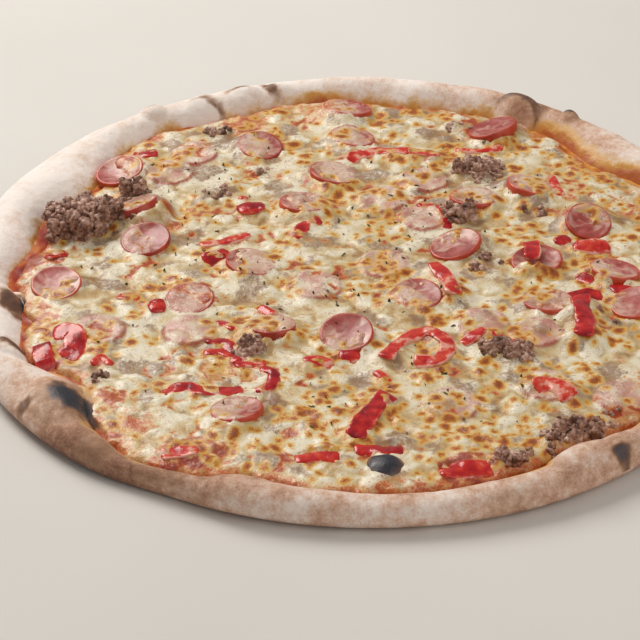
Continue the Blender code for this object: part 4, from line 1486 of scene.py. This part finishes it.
def make_mince(cheese, material):
    """Crumbs packed over each heap's solid, and looser ones in patches of the cheese."""
    crumb = make_crumb_shape()
    tree = scatter_tree("mince_scatter", crumb, material)
    bm = bmesh.new()
    for name in nodes_named("mince"):
        bm.from_mesh(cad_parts[name].data)
    bmesh.ops.remove_doubles(bm, verts=bm.verts, dist=0.005 * MM)
    cores = bpy.data.meshes.new("mince_cores")
    bm.to_mesh(cores)
    bm.free()
    core = bpy.data.objects.new("mince_cores", cores)
    cores.materials.append(material)
    normals = np.empty(3 * len(cores.vertices))
    cores.vertex_normals.foreach_get("vector", normals)
    underside = normals.reshape(-1, 3)[:, 2] < -0.3
    # The top is drawn in by about 1.5 mm, so that the crumbs bring it back to the solid's height
    displace(core, lambda place: -1.5 + 0.9 * noise.noise(place / 5), ~underside)
    surface = tree_of_piece(cheese)
    # The underside reaches down into the cheese
    for vertex, below in zip(cores.vertices, underside):
        if below:
            vertex.co.z = min(vertex.co.z, height_at(surface, vertex.co.x, vertex.co.y) - 0.6 * MM)
    sizes = {"Density": 200000.0, "Smallest": 0.0017, "Largest": 0.0042, "Lift": 0.0002, "Seed": 5}
    packed = scatter("mince_heaps", core, np.ones(len(cores.vertices)), tree, sizes)
    shares, place = patch_shares(cheese, CRUMB_PATCHES)
    shares = (shares > 0.3) * (shares + 0.3) * (ripples(place[:, 0], place[:, 1], 6.5 * MM, 52) > 0.1)
    sizes = {"Density": 330000.0, "Smallest": 0.0014, "Largest": 0.0034, "Lift": -0.0001, "Seed": 9}
    loose = scatter("mince_loose", cheese, shares, tree, sizes)
    return join("minced_beef_visual", [packed, loose, core])


def join(name, parts):
    """One mesh from several."""
    bm = bmesh.new()
    for part in parts:
        bm.from_mesh(part.data)
        material = part.data.materials[0]
        bpy.data.objects.remove(part)
    mesh = bpy.data.meshes.new(name)
    bm.to_mesh(mesh)
    bm.free()
    mesh.materials.clear()
    mesh.materials.append(material)
    mesh.shade_smooth()
    made = bpy.data.objects.new(name, mesh)
    bpy.context.scene.collection.objects.link(made)
    return made


def make_oregano(cheese, material):
    """Flecks strewn thinly over the cheese, and thicker in patches."""
    fleck = make_fleck_shape()
    tree = scatter_tree("oregano_scatter", fleck, material)
    shares, place = patch_shares(cheese, OREGANO_PATCHES)
    shares = (0.12 + shares) * (np.hypot(place[:, 0], place[:, 1]) < 135 * MM)
    sizes = {"Density": 14000.0, "Smallest": 0.0012, "Largest": 0.0032, "Lift": 0.0001, "Seed": 12}
    return scatter("oregano_flecks", cheese, shares, tree, sizes)


# The studio

FLOOR_WIDTH = 5
FLOOR_GAP = 0.2 * MM


def make_floor(material):
    """A plain square floor, just under the pizza."""
    half = FLOOR_WIDTH / 2
    corners = [(-half, -half, 0), (half, -half, 0), (half, half, 0), (-half, half, 0)]
    floor = add_piece("floor", corners, [(0, 1, 2, 3)], material, smooth=False)
    floor.location.z = -FLOOR_GAP
    return floor


def add_light(name, place, size, power, colour):
    """A square soft light aimed at the pizza."""
    light = bpy.data.lights.new(name, "AREA")
    light.size = size
    light.energy = power
    light.color = linear(colour)[:3]
    obj = bpy.data.objects.new(name, light)
    obj.location = place
    obj.rotation_euler = (Vector((0, 0, 0)) - Vector(place)).to_track_quat("-Z", "Y").to_euler()
    bpy.context.scene.collection.objects.link(obj)


def light_scene():
    """A large soft key from the far left, a weaker fill from the near right, and pale light all round."""
    add_light("key", (-0.75, 0.85, 1.15), 0.9, 22, "#FFF8F0")
    add_light("fill", (0.9, -0.7, 0.8), 1.2, 6, "#FFF4EA")
    world = bpy.data.worlds.new("studio")
    world.use_nodes = True
    world.node_tree.nodes["Background"].inputs[0].default_value = linear("#F4F2EE")
    world.node_tree.nodes["Background"].inputs[1].default_value = 0.33
    bpy.context.scene.world = world
    bpy.context.scene.view_settings.view_transform = "Standard"


def add_camera():
    """The photograph's view: 32 degrees above the table, from 1.15 m away."""
    data = bpy.data.cameras.new("photo_view")
    data.sensor_width = 36
    data.lens = 143
    camera = bpy.data.objects.new("photo_view", data)
    right = Vector((0.99979, 0.0201, 0.00403))
    up = Vector((-0.01433, 0.5447, 0.83851))
    back = right.cross(up)
    turn = Matrix((right, up, back)).transposed()
    camera.matrix_world = Matrix.Translation((0, -0.97237, 0.614)) @ turn.to_4x4()
    bpy.context.scene.collection.objects.link(camera)
    bpy.context.scene.camera = camera


def main():
    add_camera()
    light_scene()
    draw = random.Random(21)
    make_floor(floor_material())
    crust = make_crust(dough_material())
    sauce = make_sauce(sauce_material())
    slices = make_slices(nodes_named("sausage"), sausage_material(), draw)
    sheet = melted_sheet()
    peppers = make_peppers(nodes_named("pepper"), sheet, pepper_material(), draw)
    cheese = make_cheese(sheet, cheese_material(), peppers)
    mince = make_mince(cheese, mince_material())
    oregano = make_oregano(cheese, oregano_material())
    finish_piece(crust, ["crust"])
    finish_piece(sauce, ["tomato_sauce"])
    finish_piece(slices, nodes_named("sausage"))
    finish_piece(peppers, nodes_named("pepper"))
    finish_piece(cheese, ["mozzarella"])
    finish_piece(mince, nodes_named("mince"))
    finish_piece(oregano)


main()
